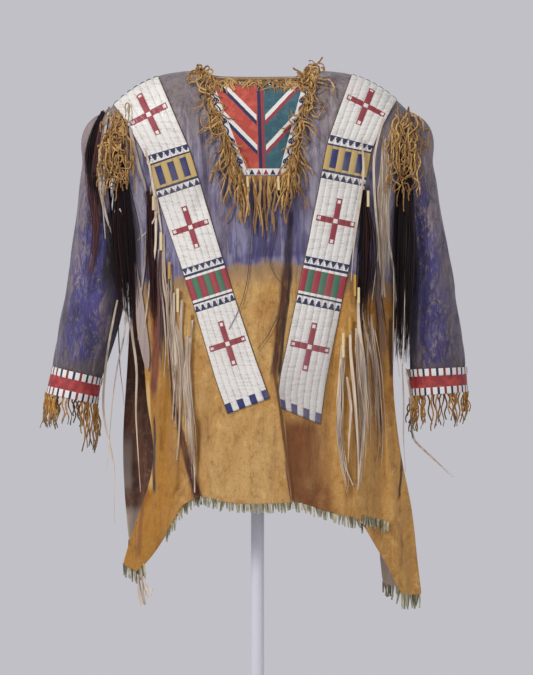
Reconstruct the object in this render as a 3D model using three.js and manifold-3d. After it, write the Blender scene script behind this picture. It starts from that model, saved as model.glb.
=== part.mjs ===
// A beaded hide war shirt on a plain display stand. Millimetres, +Z up, the front faces -Y.
//
// The shirt keeps the hollow form of a worn one. Front and back panels are hung from one shoulder
// line, sleeves are open sheets rolled round an ellipse, and the beaded strips and the bib lie on
// the panels. The origin is the centre of the underside of the stand's base. "Right" is the
// wearer's right, which is -X, and "left" is +X.

import * as THREE from 'three';
import { mergeVertices } from 'three/addons/utils/BufferGeometryUtils.js';
import Module from 'manifold-3d';

const wasm = await Module();
wasm.setup();

// ---------------------------------------------------------------- driving dimensions

const HIDE = 2;                 // thickness of the tanned hide
const GAP = 0.3;                // air between pieces that meet at a seam or lie on each other
const SHOULDER = 284;           // half of the breadth between the armhole seams
const NECK_HALF = 120;          // half width of the neck opening at the shoulder line
const NECK_CORNER = 35;         // how much of that each rounded corner takes
const SIDE_ROUNDING = 2.6;      // power of the curve that turns a panel towards its side edges

const STRIP = { width: 86, backing: 1.9, lane: 1.1, lanes: 7, turnRows: 4, bodyRows: 8 };
const BIB = { thick: 2 };
const FRINGE_STRIP = 4;         // height of the narrow strip that a row of fringe is cut into
const FRINGE_GAP = 0.5;         // air between that strip and the edge above it
const THONG = { width: 4.6, thick: 1.5 };
const ROOT_DEPTH = 2.6;         // height of a hanging thong's root above the panel that carries it

// Shoulder line, read from the neck outwards, and how far each place drops to the upright panel.
const RIDGE = [
  { x: 0, z: 1280, drop: 120 },
  { x: 120, z: 1281, drop: 120 },
  { x: 175, z: 1275, drop: 119 },
  { x: 223, z: 1256, drop: 112 },
  { x: 263, z: 1227, drop: 104 },
  { x: 284, z: 1206, drop: 100 },
];

// Sections of the front hide: its two side edges, the line of the big centre pleat, the depth in
// front of the shoulder line, and the share of that depth that is lost at the side edges.
const FRONT_SECTIONS = [
  { z: 286, right: -268, middle: 88, left: 311, depth: 112, edge: 0.70 },
  { z: 344, right: -255, middle: 80, left: 302, depth: 119, edge: 0.66 },
  { z: 431, right: -230, middle: 69, left: 296, depth: 127, edge: 0.57 },
  { z: 478, right: -215, middle: 62, left: 288, depth: 128, edge: 0.55 },
  { z: 518, right: -191, middle: 57, left: 275, depth: 127, edge: 0.55 },
  { z: 562, right: -192, middle: 50, left: 271, depth: 126, edge: 0.56 },
  { z: 621, right: -203, middle: 42, left: 261, depth: 124, edge: 0.57 },
  { z: 676, right: -216, middle: 34, left: 256, depth: 123, edge: 0.58 },
  { z: 708, right: -212, middle: 30, left: 254, depth: 122, edge: 0.58 },
  { z: 845, right: -229, middle: 16, left: 265, depth: 118, edge: 0.60 },
  { z: 1007, right: -233, middle: 5, left: 271, depth: 113, edge: 0.60 },
  { z: 1060, right: -255, middle: 1, left: 279, depth: 111, edge: 0.46 },
  { z: 1106, right: -284, middle: 0, left: 284, depth: 110, edge: 0.32 },
];

const BACK_SECTIONS = [
  { z: 300, right: -240, middle: 0, left: 264, depth: 88, edge: 0.55 },
  { z: 385, right: -246, middle: 0, left: 275, depth: 96, edge: 0.50 },
  { z: 485, right: -256, middle: 0, left: 276, depth: 100, edge: 0.45 },
  { z: 577, right: -259, middle: 0, left: 262, depth: 101, edge: 0.45 },
  { z: 700, right: -250, middle: 0, left: 250, depth: 100, edge: 0.45 },
  { z: 845, right: -243, middle: 0, left: 262, depth: 98, edge: 0.50 },
  { z: 1007, right: -240, middle: 0, left: 268, depth: 98, edge: 0.50 },
  { z: 1106, right: -284, middle: 0, left: 284, depth: 100, edge: 0.25 },
];

// Hem lines from the right edge to the left one. The low stretches at both ends are the leg pendants.
const FRONT_HEM = [
  { x: -255, z: 344 }, { x: -216, z: 327 }, { x: -200, z: 349 }, { x: -182, z: 385 },
  { x: -174, z: 420 }, { x: -166, z: 442 }, { x: -136, z: 463 }, { x: -107, z: 479 },
  { x: -67, z: 465 }, { x: -8, z: 461 }, { x: 81, z: 466 }, { x: 109, z: 455 },
  { x: 138, z: 446 }, { x: 197, z: 430 }, { x: 206, z: 406 }, { x: 237, z: 359 },
  { x: 252, z: 336 }, { x: 265, z: 289 }, { x: 311, z: 287 },
];

const BACK_HEM = [
  { x: -246, z: 385 }, { x: -225, z: 378 }, { x: -205, z: 395 }, { x: -190, z: 430 },
  { x: -170, z: 455 }, { x: -120, z: 470 }, { x: -40, z: 478 }, { x: 40, z: 478 },
  { x: 120, z: 470 }, { x: 180, z: 455 }, { x: 205, z: 430 }, { x: 216, z: 390 },
  { x: 224, z: 330 }, { x: 230, z: 302 }, { x: 262, z: 300 },
];

// Folds: where one starts and ends, how far it stands out (or in, below zero), and its width to
// the wearer's right and left. The first one is the overlapping centre pleat with its sharp edge.
const FRONT_FOLDS = [
  { topX: 16, topZ: 845, lowX: 62, lowZ: 458, rise: 16, toRight: 80, toLeft: 10 },
  { topX: -157, topZ: 800, lowX: -100, lowZ: 475, rise: -14, toRight: 24, toLeft: 24 },
  { topX: -180, topZ: 760, lowX: -140, lowZ: 455, rise: 12, toRight: 28, toLeft: 28 },
  { topX: -190, topZ: 900, lowX: -186, lowZ: 590, rise: -8, toRight: 22, toLeft: 26 },
  { topX: 180, topZ: 860, lowX: 157, lowZ: 446, rise: 10, toRight: 36, toLeft: 34 },
  { topX: 220, topZ: 820, lowX: 240, lowZ: 410, rise: -9, toRight: 24, toLeft: 26 },
  { topX: -105, topZ: 1110, lowX: -60, lowZ: 930, rise: -6, toRight: 30, toLeft: 30 },
];

const BACK_FOLDS = [
  { topX: -30, topZ: 880, lowX: -55, lowZ: 478, rise: 12, toRight: 44, toLeft: 60 },
  { topX: -150, topZ: 820, lowX: -125, lowZ: 470, rise: -11, toRight: 30, toLeft: 30 },
  { topX: 75, topZ: 840, lowX: 105, lowZ: 472, rise: -9, toRight: 34, toLeft: 28 },
  { topX: 170, topZ: 780, lowX: 165, lowZ: 455, rise: 11, toRight: 36, toLeft: 30 },
  { topX: 20, topZ: 1120, lowX: 60, lowZ: 900, rise: -5, toRight: 40, toLeft: 40 },
];

const FRONT = {
  toward: -1, sections: FRONT_SECTIONS, hem: FRONT_HEM, folds: FRONT_FOLDS,
  neckTurn: 40, shoulderRows: 5, bodyRows: 10,
};
const BACK = {
  toward: 1, sections: BACK_SECTIONS, hem: BACK_HEM, folds: BACK_FOLDS,
  neckTurn: 22, shoulderRows: 4, bodyRows: 7,
};

// Places of the grid's columns across a panel: -1 is the right edge, 0 the pleat, 1 the left edge.
const HALF_COLUMNS = 11;
const PLEAT_COLUMN = 0.04;

// Centre lines of the two beaded strips, from their square ends up to the shoulder.
const STRIP_LINES = {
  right: [{ z: 646, x: -16 }, { z: 872, x: -86.5 }, { z: 1062, x: -150 }, { z: 1123, x: -168 },
    { z: 1242, x: -228 }, { z: 1290, x: -252 }],
  left: [{ z: 627, x: 76 }, { z: 693, x: 84.5 }, { z: 959, x: 139.6 }, { z: 1067, x: 160.5 },
    { z: 1134, x: 173 }, { z: 1256, x: 222 }, { z: 1290, x: 236 }],
};
const PLEAT_COVER = 11;         // how far beside the pleat's line a strip stays

// Corners of the bib, and the line where its two halves meet.
const BIB_SHAPE = {
  topZ: 1254, lowZ: 1078, rightTop: -94, leftTop: 99, rightLow: -28.5, leftLow: 52,
  middleTop: 4.5, middleLow: 9.5,
};
// Knotted thongs that stand up in loops beside the neck: height of the root, reach to the side,
// and the heights of the loop's shoulder and top.
const NECK_LOOPS = [
  { low: 1240, out: -12, high: 1282, top: 1296 }, { low: 1233, out: 7, high: 1288, top: 1304 },
  { low: 1226, out: 20, high: 1284, top: 1297 },
];
const NECK_BAND = { half: 96, lowZ: 1252, topZ: 1290, thick: 1.6 };

// Sleeves: sections below the armhole. "out" is the half axis away from the body, "deep" the one
// from front to back, and "wrap" how far round the hide reaches each way from the outer side.
const SLEEVE_TOP = { z: 1106, high: 100, turnRows: 4 };
const SLEEVES = {
  right: [
    { z: 658, x: 353, out: 48, deep: 55, wrap: 180 },
    { z: 679, x: 348.5, out: 47, deep: 55.5, wrap: 180 },
    { z: 699, x: 344.5, out: 46.5, deep: 56, wrap: 180 },
    { z: 745, x: 333, out: 52, deep: 58, wrap: 180 },
    { z: 800, x: 320, out: 57, deep: 60, wrap: 180 },
    { z: 864, x: 305, out: 58, deep: 60, wrap: 180 },
    { z: 930, x: 303, out: 52, deep: 62, wrap: 150 },
    { z: 1007, x: 300, out: 45, deep: 66, wrap: 120 },
    { z: 1060, x: 286, out: 53, deep: 72, wrap: 96 },
    { z: 1106, x: 284.3, out: 47, deep: 75, wrap: 88 },
  ],
  left: [
    { z: 667, x: 345, out: 52, deep: 56, wrap: 180 },
    { z: 687, x: 343.5, out: 52.5, deep: 56.5, wrap: 180 },
    { z: 707, x: 342, out: 52.7, deep: 57, wrap: 180 },
    { z: 740, x: 341, out: 52, deep: 59, wrap: 180 },
    { z: 785, x: 338, out: 50, deep: 60, wrap: 180 },
    { z: 845, x: 333.5, out: 43.5, deep: 60, wrap: 180 },
    { z: 930, x: 327, out: 37, deep: 62, wrap: 150 },
    { z: 1007, x: 312, out: 38, deep: 66, wrap: 115 },
    { z: 1060, x: 294, out: 48, deep: 72, wrap: 95 },
    { z: 1106, x: 284.3, out: 47, deep: 75, wrap: 88 },
  ],
};
const SLEEVE_COLUMNS = 16;
const UNDERARM_SEAM = 0.35;     // degrees that each long edge stays short of the other
const WRINKLE = { height: 3, per: 150 };

const STAND = {
  baseRadius: 160, baseHeight: 10, collarRadius: 21, collarTop: 40, poleRadius: 12.5,
  yokeRadius: 11, yokeGap: 1.8, yokeEnd: 258, yokeRise: 150, saddleZ: 1190,
};

// Where the yoke runs below the neck opening, on its way down to the top of the pole.
const YOKE_DIP = [{ x: 108, z: 1232 }, { x: 55, z: 1201 }];

// ---------------------------------------------------------------- materials

const paint = (color, roughness, metalness = 0) => (
  new THREE.MeshStandardMaterial({ color, roughness, metalness, side: THREE.DoubleSide })
);
const DYED_HIDE = paint(0x8a7c86, 0.9);
const GOLDEN_HIDE = paint(0xc79a4e, 0.9);
const BEADWORK = paint(0xe4e0d8, 0.45);
const RED_WOOL = paint(0xb5432f, 0.95);
const GREEN_WOOL = paint(0x2f6a62, 0.95);
const CUFF_WOOL = paint(0xa83f3a, 0.9);
const NECK_CLOTH = paint(0x8e6f4c, 0.9);
const THONG_HIDE = paint(0xb98a3d, 0.85);
const HAIR = paint(0xa69a8c, 0.6);
const STAND_PAINT = paint(0xdcdbe6, 0.4);

// ---------------------------------------------------------------- tables and folds

const sideSign = { right: -1, left: 1 };
const mix = (from, to, share) => from + (to - from) * share;
const clamp01 = (value) => Math.min(1, Math.max(0, value));
const smooth = (value) => clamp01(value) ** 2 * (3 - 2 * clamp01(value));
const radians = THREE.MathUtils.degToRad;

// Reads a column of a table at a place along its key, by a curve that never overshoots the rows.
function read(table, key, at, column) {
  const last = table.length - 1;
  if (at <= table[0][key]) return table[0][column];
  if (at >= table[last][key]) return table[last][column];
  const row = table.findIndex((entry) => entry[key] > at) - 1;
  const slope = (k) => (table[k + 1][column] - table[k][column]) / (table[k + 1][key] - table[k][key]);
  const tangent = (k) => {
    if (k === 0 || k === last) return slope(Math.min(k, last - 1));
    const [before, after] = [slope(k - 1), slope(k)];
    return before * after <= 0 ? 0 : (2 * before * after) / (before + after);
  };
  const span = table[row + 1][key] - table[row][key];
  const t = (at - table[row][key]) / span;
  const start = (1 + 2 * t) * (1 - t) ** 2 * table[row][column];
  const end = t * t * (3 - 2 * t) * table[row + 1][column];
  return start + end + span * t * (1 - t) * ((1 - t) * tangent(row) - t * tangent(row + 1));
}

// Reads a line of corners, straight from one corner to the next.
function readLine(line, key, at, column) {
  const next = line.findIndex((entry) => entry[key] >= at);
  if (next === 0) return line[0][column];
  if (next < 0) return line[line.length - 1][column];
  const [a, b] = [line[next - 1], line[next]];
  return mix(a[column], b[column], (at - a[key]) / (b[key] - a[key]));
}

// How far all the folds of a panel push it outwards at one place.
function foldRise(panel, x, z) {
  return panel.folds.reduce((sum, fold) => {
    const down = (fold.topZ - z) / (fold.topZ - fold.lowZ);
    const centre = mix(fold.topX, fold.lowX, down);
    const aside = (x - centre) / (x < centre ? fold.toRight : fold.toLeft);
    return Math.abs(aside) < 1 ? sum + fold.rise * smooth(down * 2) * (1 - aside * aside) ** 2 : sum;
  }, 0);
}

// ---------------------------------------------------------------- the two hides

// Distance of an upright panel from the shoulder line's plane.
function bodyDepth(panel, x, z) {
  const right = read(panel.sections, 'z', z, 'right');
  const left = read(panel.sections, 'z', z, 'left');
  const aside = clamp01(Math.abs((2 * (x - right)) / (left - right) - 1));
  const lost = read(panel.sections, 'z', z, 'edge') * aside ** SIDE_ROUNDING;
  return read(panel.sections, 'z', z, 'depth') * (1 - lost);
}

// Place across a panel, from -1 to 1, as a distance from the centre plane.
function acrossPanel(panel, across, z) {
  const middle = read(panel.sections, 'z', z, 'middle');
  const edge = read(panel.sections, 'z', z, across < 0 ? 'right' : 'left');
  return mix(middle, edge, Math.abs(across));
}

// Depth of a panel's outer face at any place, on the rounded shoulder as well as below it.
function faceDepth(panel, x, z) {
  const reach = Math.min(Math.abs(x), SHOULDER);
  const ridge = read(RIDGE, 'x', reach, 'z');
  const drop = read(RIDGE, 'x', reach, 'drop');
  if (z < ridge - drop) return bodyDepth(panel, x, z) + foldRise(panel, x, z);
  const fall = clamp01((ridge - z) / drop);
  return bodyDepth(panel, x, z) * Math.sqrt(1 - (1 - fall) ** 2);
}

// Height at which a column of a panel reaches the hem, found by halving.
function hemHeight(panel, across) {
  let [low, high] = [250, 600];
  for (let step = 0; step < 30; step += 1) {
    const z = (low + high) / 2;
    if (z > readLine(panel.hem, 'x', acrossPanel(panel, across, z), 'z')) high = z;
    else low = z;
  }
  return low;
}

const rightColumns = Array.from({ length: HALF_COLUMNS + 1 }, (_, k) => k / HALF_COLUMNS - 1);
const leftColumns = Array.from({ length: HALF_COLUMNS + 1 }, (_, k) => (
  mix(PLEAT_COLUMN, 1, k / HALF_COLUMNS)
));
const COLUMNS = [...rightColumns, ...leftColumns];

// Rows of points on a panel's outer face, from the shoulder line or the neck edge to the hem. The
// shoulder rows turn over a quarter ellipse, and the others share the way down to the hem.
function panelGrid(panel, ridgeGap) {
  const rows = [];
  for (let row = 0; row <= panel.shoulderRows; row += 1) {
    rows.push(COLUMNS.map((across) => {
      const x = acrossPanel(panel, across, SLEEVE_TOP.z);
      const cornered = smooth((NECK_HALF - Math.abs(x)) / NECK_CORNER);
      const turn = radians(mix(panel.neckTurn * cornered, 90, row / panel.shoulderRows));
      const drop = read(RIDGE, 'x', Math.abs(x), 'drop');
      const depth = Math.max(ridgeGap, bodyDepth(panel, x, SLEEVE_TOP.z) * Math.sin(turn));
      const z = read(RIDGE, 'x', Math.abs(x), 'z') - drop * (1 - Math.cos(turn));
      return new THREE.Vector3(x, panel.toward * depth, z);
    }));
  }
  const hem = COLUMNS.map((across) => hemHeight(panel, across));
  const top = rows[panel.shoulderRows].map((point) => point.z);
  for (let row = 1; row <= panel.bodyRows; row += 1) {
    rows.push(COLUMNS.map((across, column) => {
      const z = mix(top[column], hem[column], row / panel.bodyRows);
      const x = acrossPanel(panel, across, z);
      const depth = bodyDepth(panel, x, z) + foldRise(panel, x, z);
      return new THREE.Vector3(x, panel.toward * depth, z);
    }));
  }
  return rows;
}

// Outward directions of a grid's points. On the shoulder line they stay in the seam's plane.
function outward(grid, away) {
  const last = grid.length - 1;
  return grid.map((row, r) => row.map((point, c) => {
    const down = grid[Math.min(r + 1, last)][c].clone().sub(grid[Math.max(r - 1, 0)][c]);
    const along = row[Math.min(c + 1, row.length - 1)].clone().sub(row[Math.max(c - 1, 0)]);
    const normal = down.cross(along).normalize();
    if (normal.dot(away(point)) < 0) normal.negate();
    if (Math.abs(point.y) < 1) normal.setY(0).normalize();
    return normal;
  }));
}

const fromBody = (point) => new THREE.Vector3(0, point.y, Math.max(0, point.z - SLEEVE_TOP.z) * 2);

// ---------------------------------------------------------------- closed solids

function closedBody(points, triangles) {
  const volume = triangles.reduce((sum, [a, b, c]) => (
    sum + points[a].dot(points[b].clone().cross(points[c]))
  ), 0);
  const geometry = new THREE.BufferGeometry().setFromPoints(points);
  geometry.setIndex(triangles.flatMap(([a, b, c]) => (volume < 0 ? [a, c, b] : [a, b, c])));
  geometry.computeVertexNormals();
  return geometry;
}

// A wall over a grid, between two distances from it, closed along its four edges. Each distance
// is a number or a function of the row and column.
function wall(grid, directions, inner, outer) {
  const [rows, columns] = [grid.length, grid[0].length];
  const reach = (distance, r, c) => (typeof distance === 'function' ? distance(r, c) : distance);
  const layer = (distance) => grid.flatMap((row, r) => row.map((point, c) => (
    point.clone().addScaledVector(directions[r][c], reach(distance, r, c))
  )));
  const points = [...layer(outer), ...layer(inner)];
  const outside = (r, c) => r * columns + c;
  const inside = (r, c) => rows * columns + outside(r, c);
  const triangles = [];
  const quad = (a, b, c, d) => triangles.push([a, b, c], [a, c, d]);
  // Both faces of a cell fold along its shorter diagonal, so that walls on one grid agree.
  const cell = (r, c) => {
    const down = grid[r][c].distanceTo(grid[r + 1][c + 1]);
    const up = grid[r + 1][c].distanceTo(grid[r][c + 1]);
    const corners = [[r, c], [r + 1, c], [r + 1, c + 1], [r, c + 1]];
    const ring = down <= up ? corners : [...corners.slice(1), corners[0]];
    quad(...ring.map(([row, column]) => outside(row, column)));
    const [a, b, far, d] = ring.map(([row, column]) => inside(row, column));
    quad(a, d, far, b);
  };
  for (let r = 0; r < rows - 1; r += 1) {
    for (let c = 0; c < columns - 1; c += 1) cell(r, c);
    quad(outside(r, 0), inside(r, 0), inside(r + 1, 0), outside(r + 1, 0));
    const end = columns - 1;
    quad(outside(r, end), outside(r + 1, end), inside(r + 1, end), inside(r, end));
  }
  for (let c = 0; c < columns - 1; c += 1) {
    const end = rows - 1;
    quad(outside(0, c), outside(0, c + 1), inside(0, c + 1), inside(0, c));
    quad(outside(end, c), inside(end, c), inside(end, c + 1), outside(end, c + 1));
  }
  return closedBody(points, triangles);
}

// A thong or lock of hair along a route, tapered, with three or four flat sides and closed ends.
function strand(route, { width, thick, sides = 3, shape = (share) => 1 - 0.3 * share, facing }) {
  const corners = sides === 4
    ? [[-0.5, -0.5], [0.5, -0.5], [0.5, 0.5], [-0.5, 0.5]]
    : [[-0.5, -0.4], [0.5, -0.4], [0, 0.6]];
  const last = route.length - 1;
  const points = route.flatMap((centre, k) => {
    const tangent = route[Math.min(k + 1, last)].clone().sub(route[Math.max(k - 1, 0)]).normalize();
    const side = tangent.clone().cross(facing).normalize();
    const out = side.clone().cross(tangent);
    const size = shape(k / last);
    return corners.map(([a, b]) => (
      centre.clone().addScaledVector(side, a * width * size).addScaledVector(out, b * thick * size)
    ));
  });
  const triangles = [];
  for (let k = 0; k < last; k += 1) {
    for (let s = 0; s < sides; s += 1) {
      const [a, b] = [k * sides + s, k * sides + ((s + 1) % sides)];
      triangles.push([a, b, b + sides], [a, b + sides, a + sides]);
    }
  }
  for (let s = 1; s < sides - 1; s += 1) {
    triangles.push([0, s + 1, s], [last * sides, last * sides + s, last * sides + s + 1]);
  }
  return closedBody(points, triangles);
}

// An outline in the XZ plane, drawn through in Y between two depths.
function prism(outline, fromY, toY) {
  const shape = new THREE.Shape(outline.map(({ x, z }) => new THREE.Vector2(x, z)));
  const geometry = new THREE.ExtrudeGeometry(shape, { depth: toY - fromY, bevelEnabled: false });
  return geometry.rotateX(Math.PI / 2).translate(0, toY, 0);
}

function toManifold(geometry) {
  const bare = geometry.clone();
  bare.deleteAttribute('normal');
  bare.deleteAttribute('uv');
  const merged = mergeVertices(bare);
  return new wasm.Manifold(new wasm.Mesh({
    numProp: 3,
    vertProperties: new Float32Array(merged.attributes.position.array),
    triVerts: new Uint32Array(merged.index.array),
  }));
}

function fromManifold(manifold) {
  const mesh = manifold.getMesh();
  const geometry = new THREE.BufferGeometry();
  geometry.setAttribute('position', new THREE.BufferAttribute(new Float32Array(mesh.vertProperties), 3));
  geometry.setIndex(new THREE.BufferAttribute(new Uint32Array(mesh.triVerts), 1));
  geometry.computeVertexNormals();
  return geometry;
}

const joined = (geometries) => (
  fromManifold(geometries.map(toManifold).reduce((sum, next) => sum.add(next)))
);
const common = (a, b) => fromManifold(toManifold(a).intersect(toManifold(b)));

const shirt = new THREE.Group();
const stand = new THREE.Group();
function add(group, name, geometry, material) {
  const mesh = new THREE.Mesh(geometry, material);
  mesh.name = name;
  group.add(mesh);
}

// ---------------------------------------------------------------- front and back

const frontGrid = panelGrid(FRONT, GAP / 2);
const backGrid = panelGrid(BACK, GAP / 2);
const frontOut = outward(frontGrid, fromBody);
const backOut = outward(backGrid, fromBody);
add(shirt, 'front_panel', wall(frontGrid, frontOut, -HIDE, 0), DYED_HIDE);
add(shirt, 'back_panel', wall(backGrid, backOut, -HIDE, 0), DYED_HIDE);
const SHEETS = { front: [frontGrid, frontOut], back: [backGrid, backOut] };

// Depth of a panel's built face, which is made of flat facets, at one place.
function facetDepth(panel, x, z) {
  const grid = panel === FRONT ? frontGrid : backGrid;
  const spot = new THREE.Vector3();
  const level = (point) => new THREE.Vector3(point.x, point.z, 0);
  for (let r = 0; r < grid.length - 1; r += 1) {
    for (let c = 0; c < COLUMNS.length - 1; c += 1) {
      const ring = [grid[r][c], grid[r + 1][c], grid[r + 1][c + 1], grid[r][c + 1]];
      if (ring[0].distanceTo(ring[2]) > ring[1].distanceTo(ring[3])) ring.push(ring.shift());
      for (const [a, b, d] of [[ring[0], ring[1], ring[2]], [ring[0], ring[2], ring[3]]]) {
        THREE.Triangle.getBarycoord(new THREE.Vector3(x, z, 0), level(a), level(b), level(d), spot);
        if (Math.min(spot.x, spot.y, spot.z) >= 0) {
          return Math.abs(a.y * spot.x + b.y * spot.y + d.y * spot.z);
        }
      }
    }
  }
  return faceDepth(panel, x, z);
}

// One sheet over both panels, for what crosses the shoulder line.
const overGrid = [...panelGrid(FRONT, 0).reverse(), ...panelGrid(BACK, 0).slice(1)];
const overOut = outward(overGrid, fromBody);

const FAR = 400;
const onFront = (outline, inner, outer) => (
  common(wall(frontGrid, frontOut, inner, outer), prism(outline, -FAR, -GAP))
);
const overShoulder = (outline, inner, outer) => (
  common(wall(overGrid, overOut, inner, outer), prism(outline, -FAR, FAR))
);

// ---------------------------------------------------------------- beaded strips

// Place on a strip, "aside" from its centre line, at the height z. The left strip's inner edge
// goes under the centre pleat near its end, so the strip is narrowed to clear the pleat there.
function stripPlace(line, aside, z) {
  const lean = (read(line, 'z', z + 10, 'x') - read(line, 'z', z - 10, 'x')) / 20;
  const stretch = Math.hypot(1, lean);
  const centre = read(line, 'z', z, 'x');
  if (centre < 0) return centre + aside * stretch;
  const half = STRIP.width / 2;
  const inner = Math.max(centre - half * stretch, read(FRONT_SECTIONS, 'z', z, 'middle') + PLEAT_COVER);
  return mix(inner, centre + half * stretch, aside / STRIP.width + 0.5);
}

// Height of the strip's square end, "aside" from its centre line.
function stripEnd(line, aside) {
  const lean = (line[1].x - line[0].x) / (line[1].z - line[0].z);
  return line[0].z - (aside * lean) / Math.hypot(1, lean);
}

// Points on a panel's face under one half of a strip, from the shoulder line to the strip's end.
function stripRows(line, panel, asides) {
  const total = STRIP.turnRows + STRIP.bodyRows;
  return Array.from({ length: total + 1 }, (_, row) => asides.map((aside) => {
    let [x, drop, ridge] = [line[line.length - 1].x, 0, 0];
    for (let step = 0; step < 12; step += 1) {
      ridge = read(RIDGE, 'x', Math.abs(x), 'z');
      drop = read(RIDGE, 'x', Math.abs(x), 'drop');
      x = stripPlace(line, aside, ridge);
    }
    const turned = Math.min(row / STRIP.turnRows, 1);
    const below = Math.max(0, row - STRIP.turnRows) / STRIP.bodyRows;
    const z = mix(ridge - drop * (1 - Math.cos((turned * Math.PI) / 2)), stripEnd(line, aside), below);
    const place = stripPlace(line, aside, z);
    const depth = Math.max(faceDepth(panel, place, z), facetDepth(panel, place, z));
    return new THREE.Vector3(place, panel.toward * (row === 0 ? 0 : depth), z);
  }));
}

// The seven lanes of beads stand proud of the strip's hide backing as soft ribs. The wall starts
// inside the shirt's hide, and the hide and its gap are then cut from it.
function beadedStrip(line) {
  const asides = Array.from({ length: 2 * STRIP.lanes + 1 }, (_, k) => (
    STRIP.width * (k / (2 * STRIP.lanes) - 0.5)
  ));
  const grid = [...stripRows(line, FRONT, asides).reverse(), ...stripRows(line, BACK, asides).slice(1)];
  const ribbed = (r, c) => GAP + STRIP.backing + (c % 2 ? STRIP.lane : 0);
  const strip = toManifold(wall(grid, outward(grid, fromBody), -1.5 * HIDE, ribbed));
  return fromManifold(strip.subtract(toManifold(wall(overGrid, overOut, -5 * HIDE, GAP))));
}

for (const side of ['right', 'left']) {
  add(shirt, `strip_${side}`, beadedStrip(STRIP_LINES[side]), BEADWORK);
}

// ---------------------------------------------------------------- bib and neck

const bibEdge = (side, z) => mix(
  BIB_SHAPE[`${side}Low`],
  BIB_SHAPE[`${side}Top`],
  (z - BIB_SHAPE.lowZ) / (BIB_SHAPE.topZ - BIB_SHAPE.lowZ),
);

// Half of the bib, from its outer edge to the seam in its middle.
function bibOutline(side) {
  const seam = (z) => bibEdge('middle', z) + (sideSign[side] * GAP) / 2;
  const { lowZ, topZ } = BIB_SHAPE;
  return [
    { x: bibEdge(side, lowZ), z: lowZ }, { x: seam(lowZ), z: lowZ },
    { x: seam(topZ), z: topZ }, { x: bibEdge(side, topZ), z: topZ },
  ];
}

for (const [side, cloth] of [['right', RED_WOOL], ['left', GREEN_WOOL]]) {
  add(shirt, `bib_${side}`, onFront(bibOutline(side), GAP, GAP + BIB.thick), cloth);
}

const bandOutline = [
  { x: -NECK_BAND.half, z: NECK_BAND.lowZ }, { x: NECK_BAND.half, z: NECK_BAND.lowZ },
  { x: NECK_BAND.half, z: NECK_BAND.topZ }, { x: -NECK_BAND.half, z: NECK_BAND.topZ },
];
const bandInner = -HIDE - GAP;
add(shirt, 'neck_band', common(
  wall(backGrid, backOut, bandInner - NECK_BAND.thick, bandInner),
  prism(bandOutline, GAP, FAR),
), NECK_CLOTH);

// ---------------------------------------------------------------- sleeves and cuffs

// Sections of a sleeve from the shoulder to the wrist. The first ones turn the armhole's upright
// half ellipse over into the level one below the shoulder. Each has a centre, the two directions
// of its ellipse and its half axes.
function sleeveSections(side) {
  const sign = sideSign[side];
  const table = SLEEVES[side];
  const top = table[table.length - 1];
  const sections = [];
  for (let k = 0; k < SLEEVE_TOP.turnRows; k += 1) {
    const share = k / SLEEVE_TOP.turnRows;
    const turn = radians(90 * share);
    sections.push({
      centre: new THREE.Vector3(sign * top.x, 0, top.z),
      away: new THREE.Vector3(sign * Math.sin(turn), 0, Math.cos(turn)),
      out: mix(SLEEVE_TOP.high, top.out, smooth(share)),
      deep: top.deep,
      wrap: mix(90, top.wrap, share),
      wrinkle: 0,
    });
  }
  for (let k = table.length - 1; k >= 0; k -= 1) {
    const row = table[k];
    const [above, below] = [table[Math.min(k + 1, table.length - 1)], table[Math.max(k - 1, 0)]];
    const fall = new THREE.Vector3(sign * (below.x - above.x), 0, below.z - above.z).normalize();
    const level = k === table.length - 1;
    const square = new THREE.Vector3(-sign * fall.z, 0, sign * fall.x);
    sections.push({
      centre: new THREE.Vector3(sign * row.x, 0, row.z),
      away: level ? new THREE.Vector3(sign, 0, 0) : square,
      out: row.out,
      deep: row.deep,
      wrap: row.wrap - (row.wrap === 180 ? UNDERARM_SEAM : 0),
      wrinkle: k <= 2 || level ? 0 : WRINKLE.height,
    });
  }
  return sections;
}

function sleeveGrid(sections) {
  const grid = [];
  const directions = [];
  for (const part of sections) {
    const angles = Array.from({ length: SLEEVE_COLUMNS + 1 }, (_, k) => (
      radians(part.wrap) * ((2 * k) / SLEEVE_COLUMNS - 1)
    ));
    const direction = (angle) => part.away.clone().multiplyScalar(Math.cos(angle) / part.out)
      .add(new THREE.Vector3(0, Math.sin(angle) / part.deep, 0)).normalize();
    directions.push(angles.map(direction));
    grid.push(angles.map((angle) => {
      const turn = 3 * angle + (part.centre.z / WRINKLE.per) * 2 * Math.PI;
      const crease = part.wrinkle * Math.sin(turn) * Math.cos(angle / 2);
      return part.centre.clone()
        .addScaledVector(part.away, part.out * Math.cos(angle))
        .add(new THREE.Vector3(0, part.deep * Math.sin(angle), 0))
        .addScaledVector(direction(angle), crease);
    }));
  }
  return { grid, directions };
}

const CUFF = { cloth: 1.5, beads: 2.5, edge: 0.5 };
const sleeves = {};
for (const side of ['right', 'left']) {
  const { grid, directions } = sleeveGrid(sleeveSections(side));
  sleeves[side] = { grid, directions };
  add(shirt, `sleeve_${side}`, wall(grid, directions, -HIDE, 0), DYED_HIDE);
  // The cuff covers the sleeve's last three rows. Its two edges are beaded and stand prouder.
  const rim = grid.slice(-3);
  const rimOut = directions.slice(-3);
  const near = rim[0].map((point, c) => point.clone().lerp(rim[1][c], CUFF.edge));
  const far = rim[2].map((point, c) => point.clone().lerp(rim[1][c], CUFF.edge));
  const proud = (r) => GAP + (r === 1 || r === 2 ? CUFF.cloth : CUFF.beads);
  const bands = wall(
    [rim[0], near, far, rim[2]],
    [rimOut[0], rimOut[1], rimOut[1], rimOut[2]],
    GAP,
    proud,
  );
  add(shirt, `cuff_${side}`, bands, CUFF_WOOL);
}

// ---------------------------------------------------------------- fringes

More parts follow.
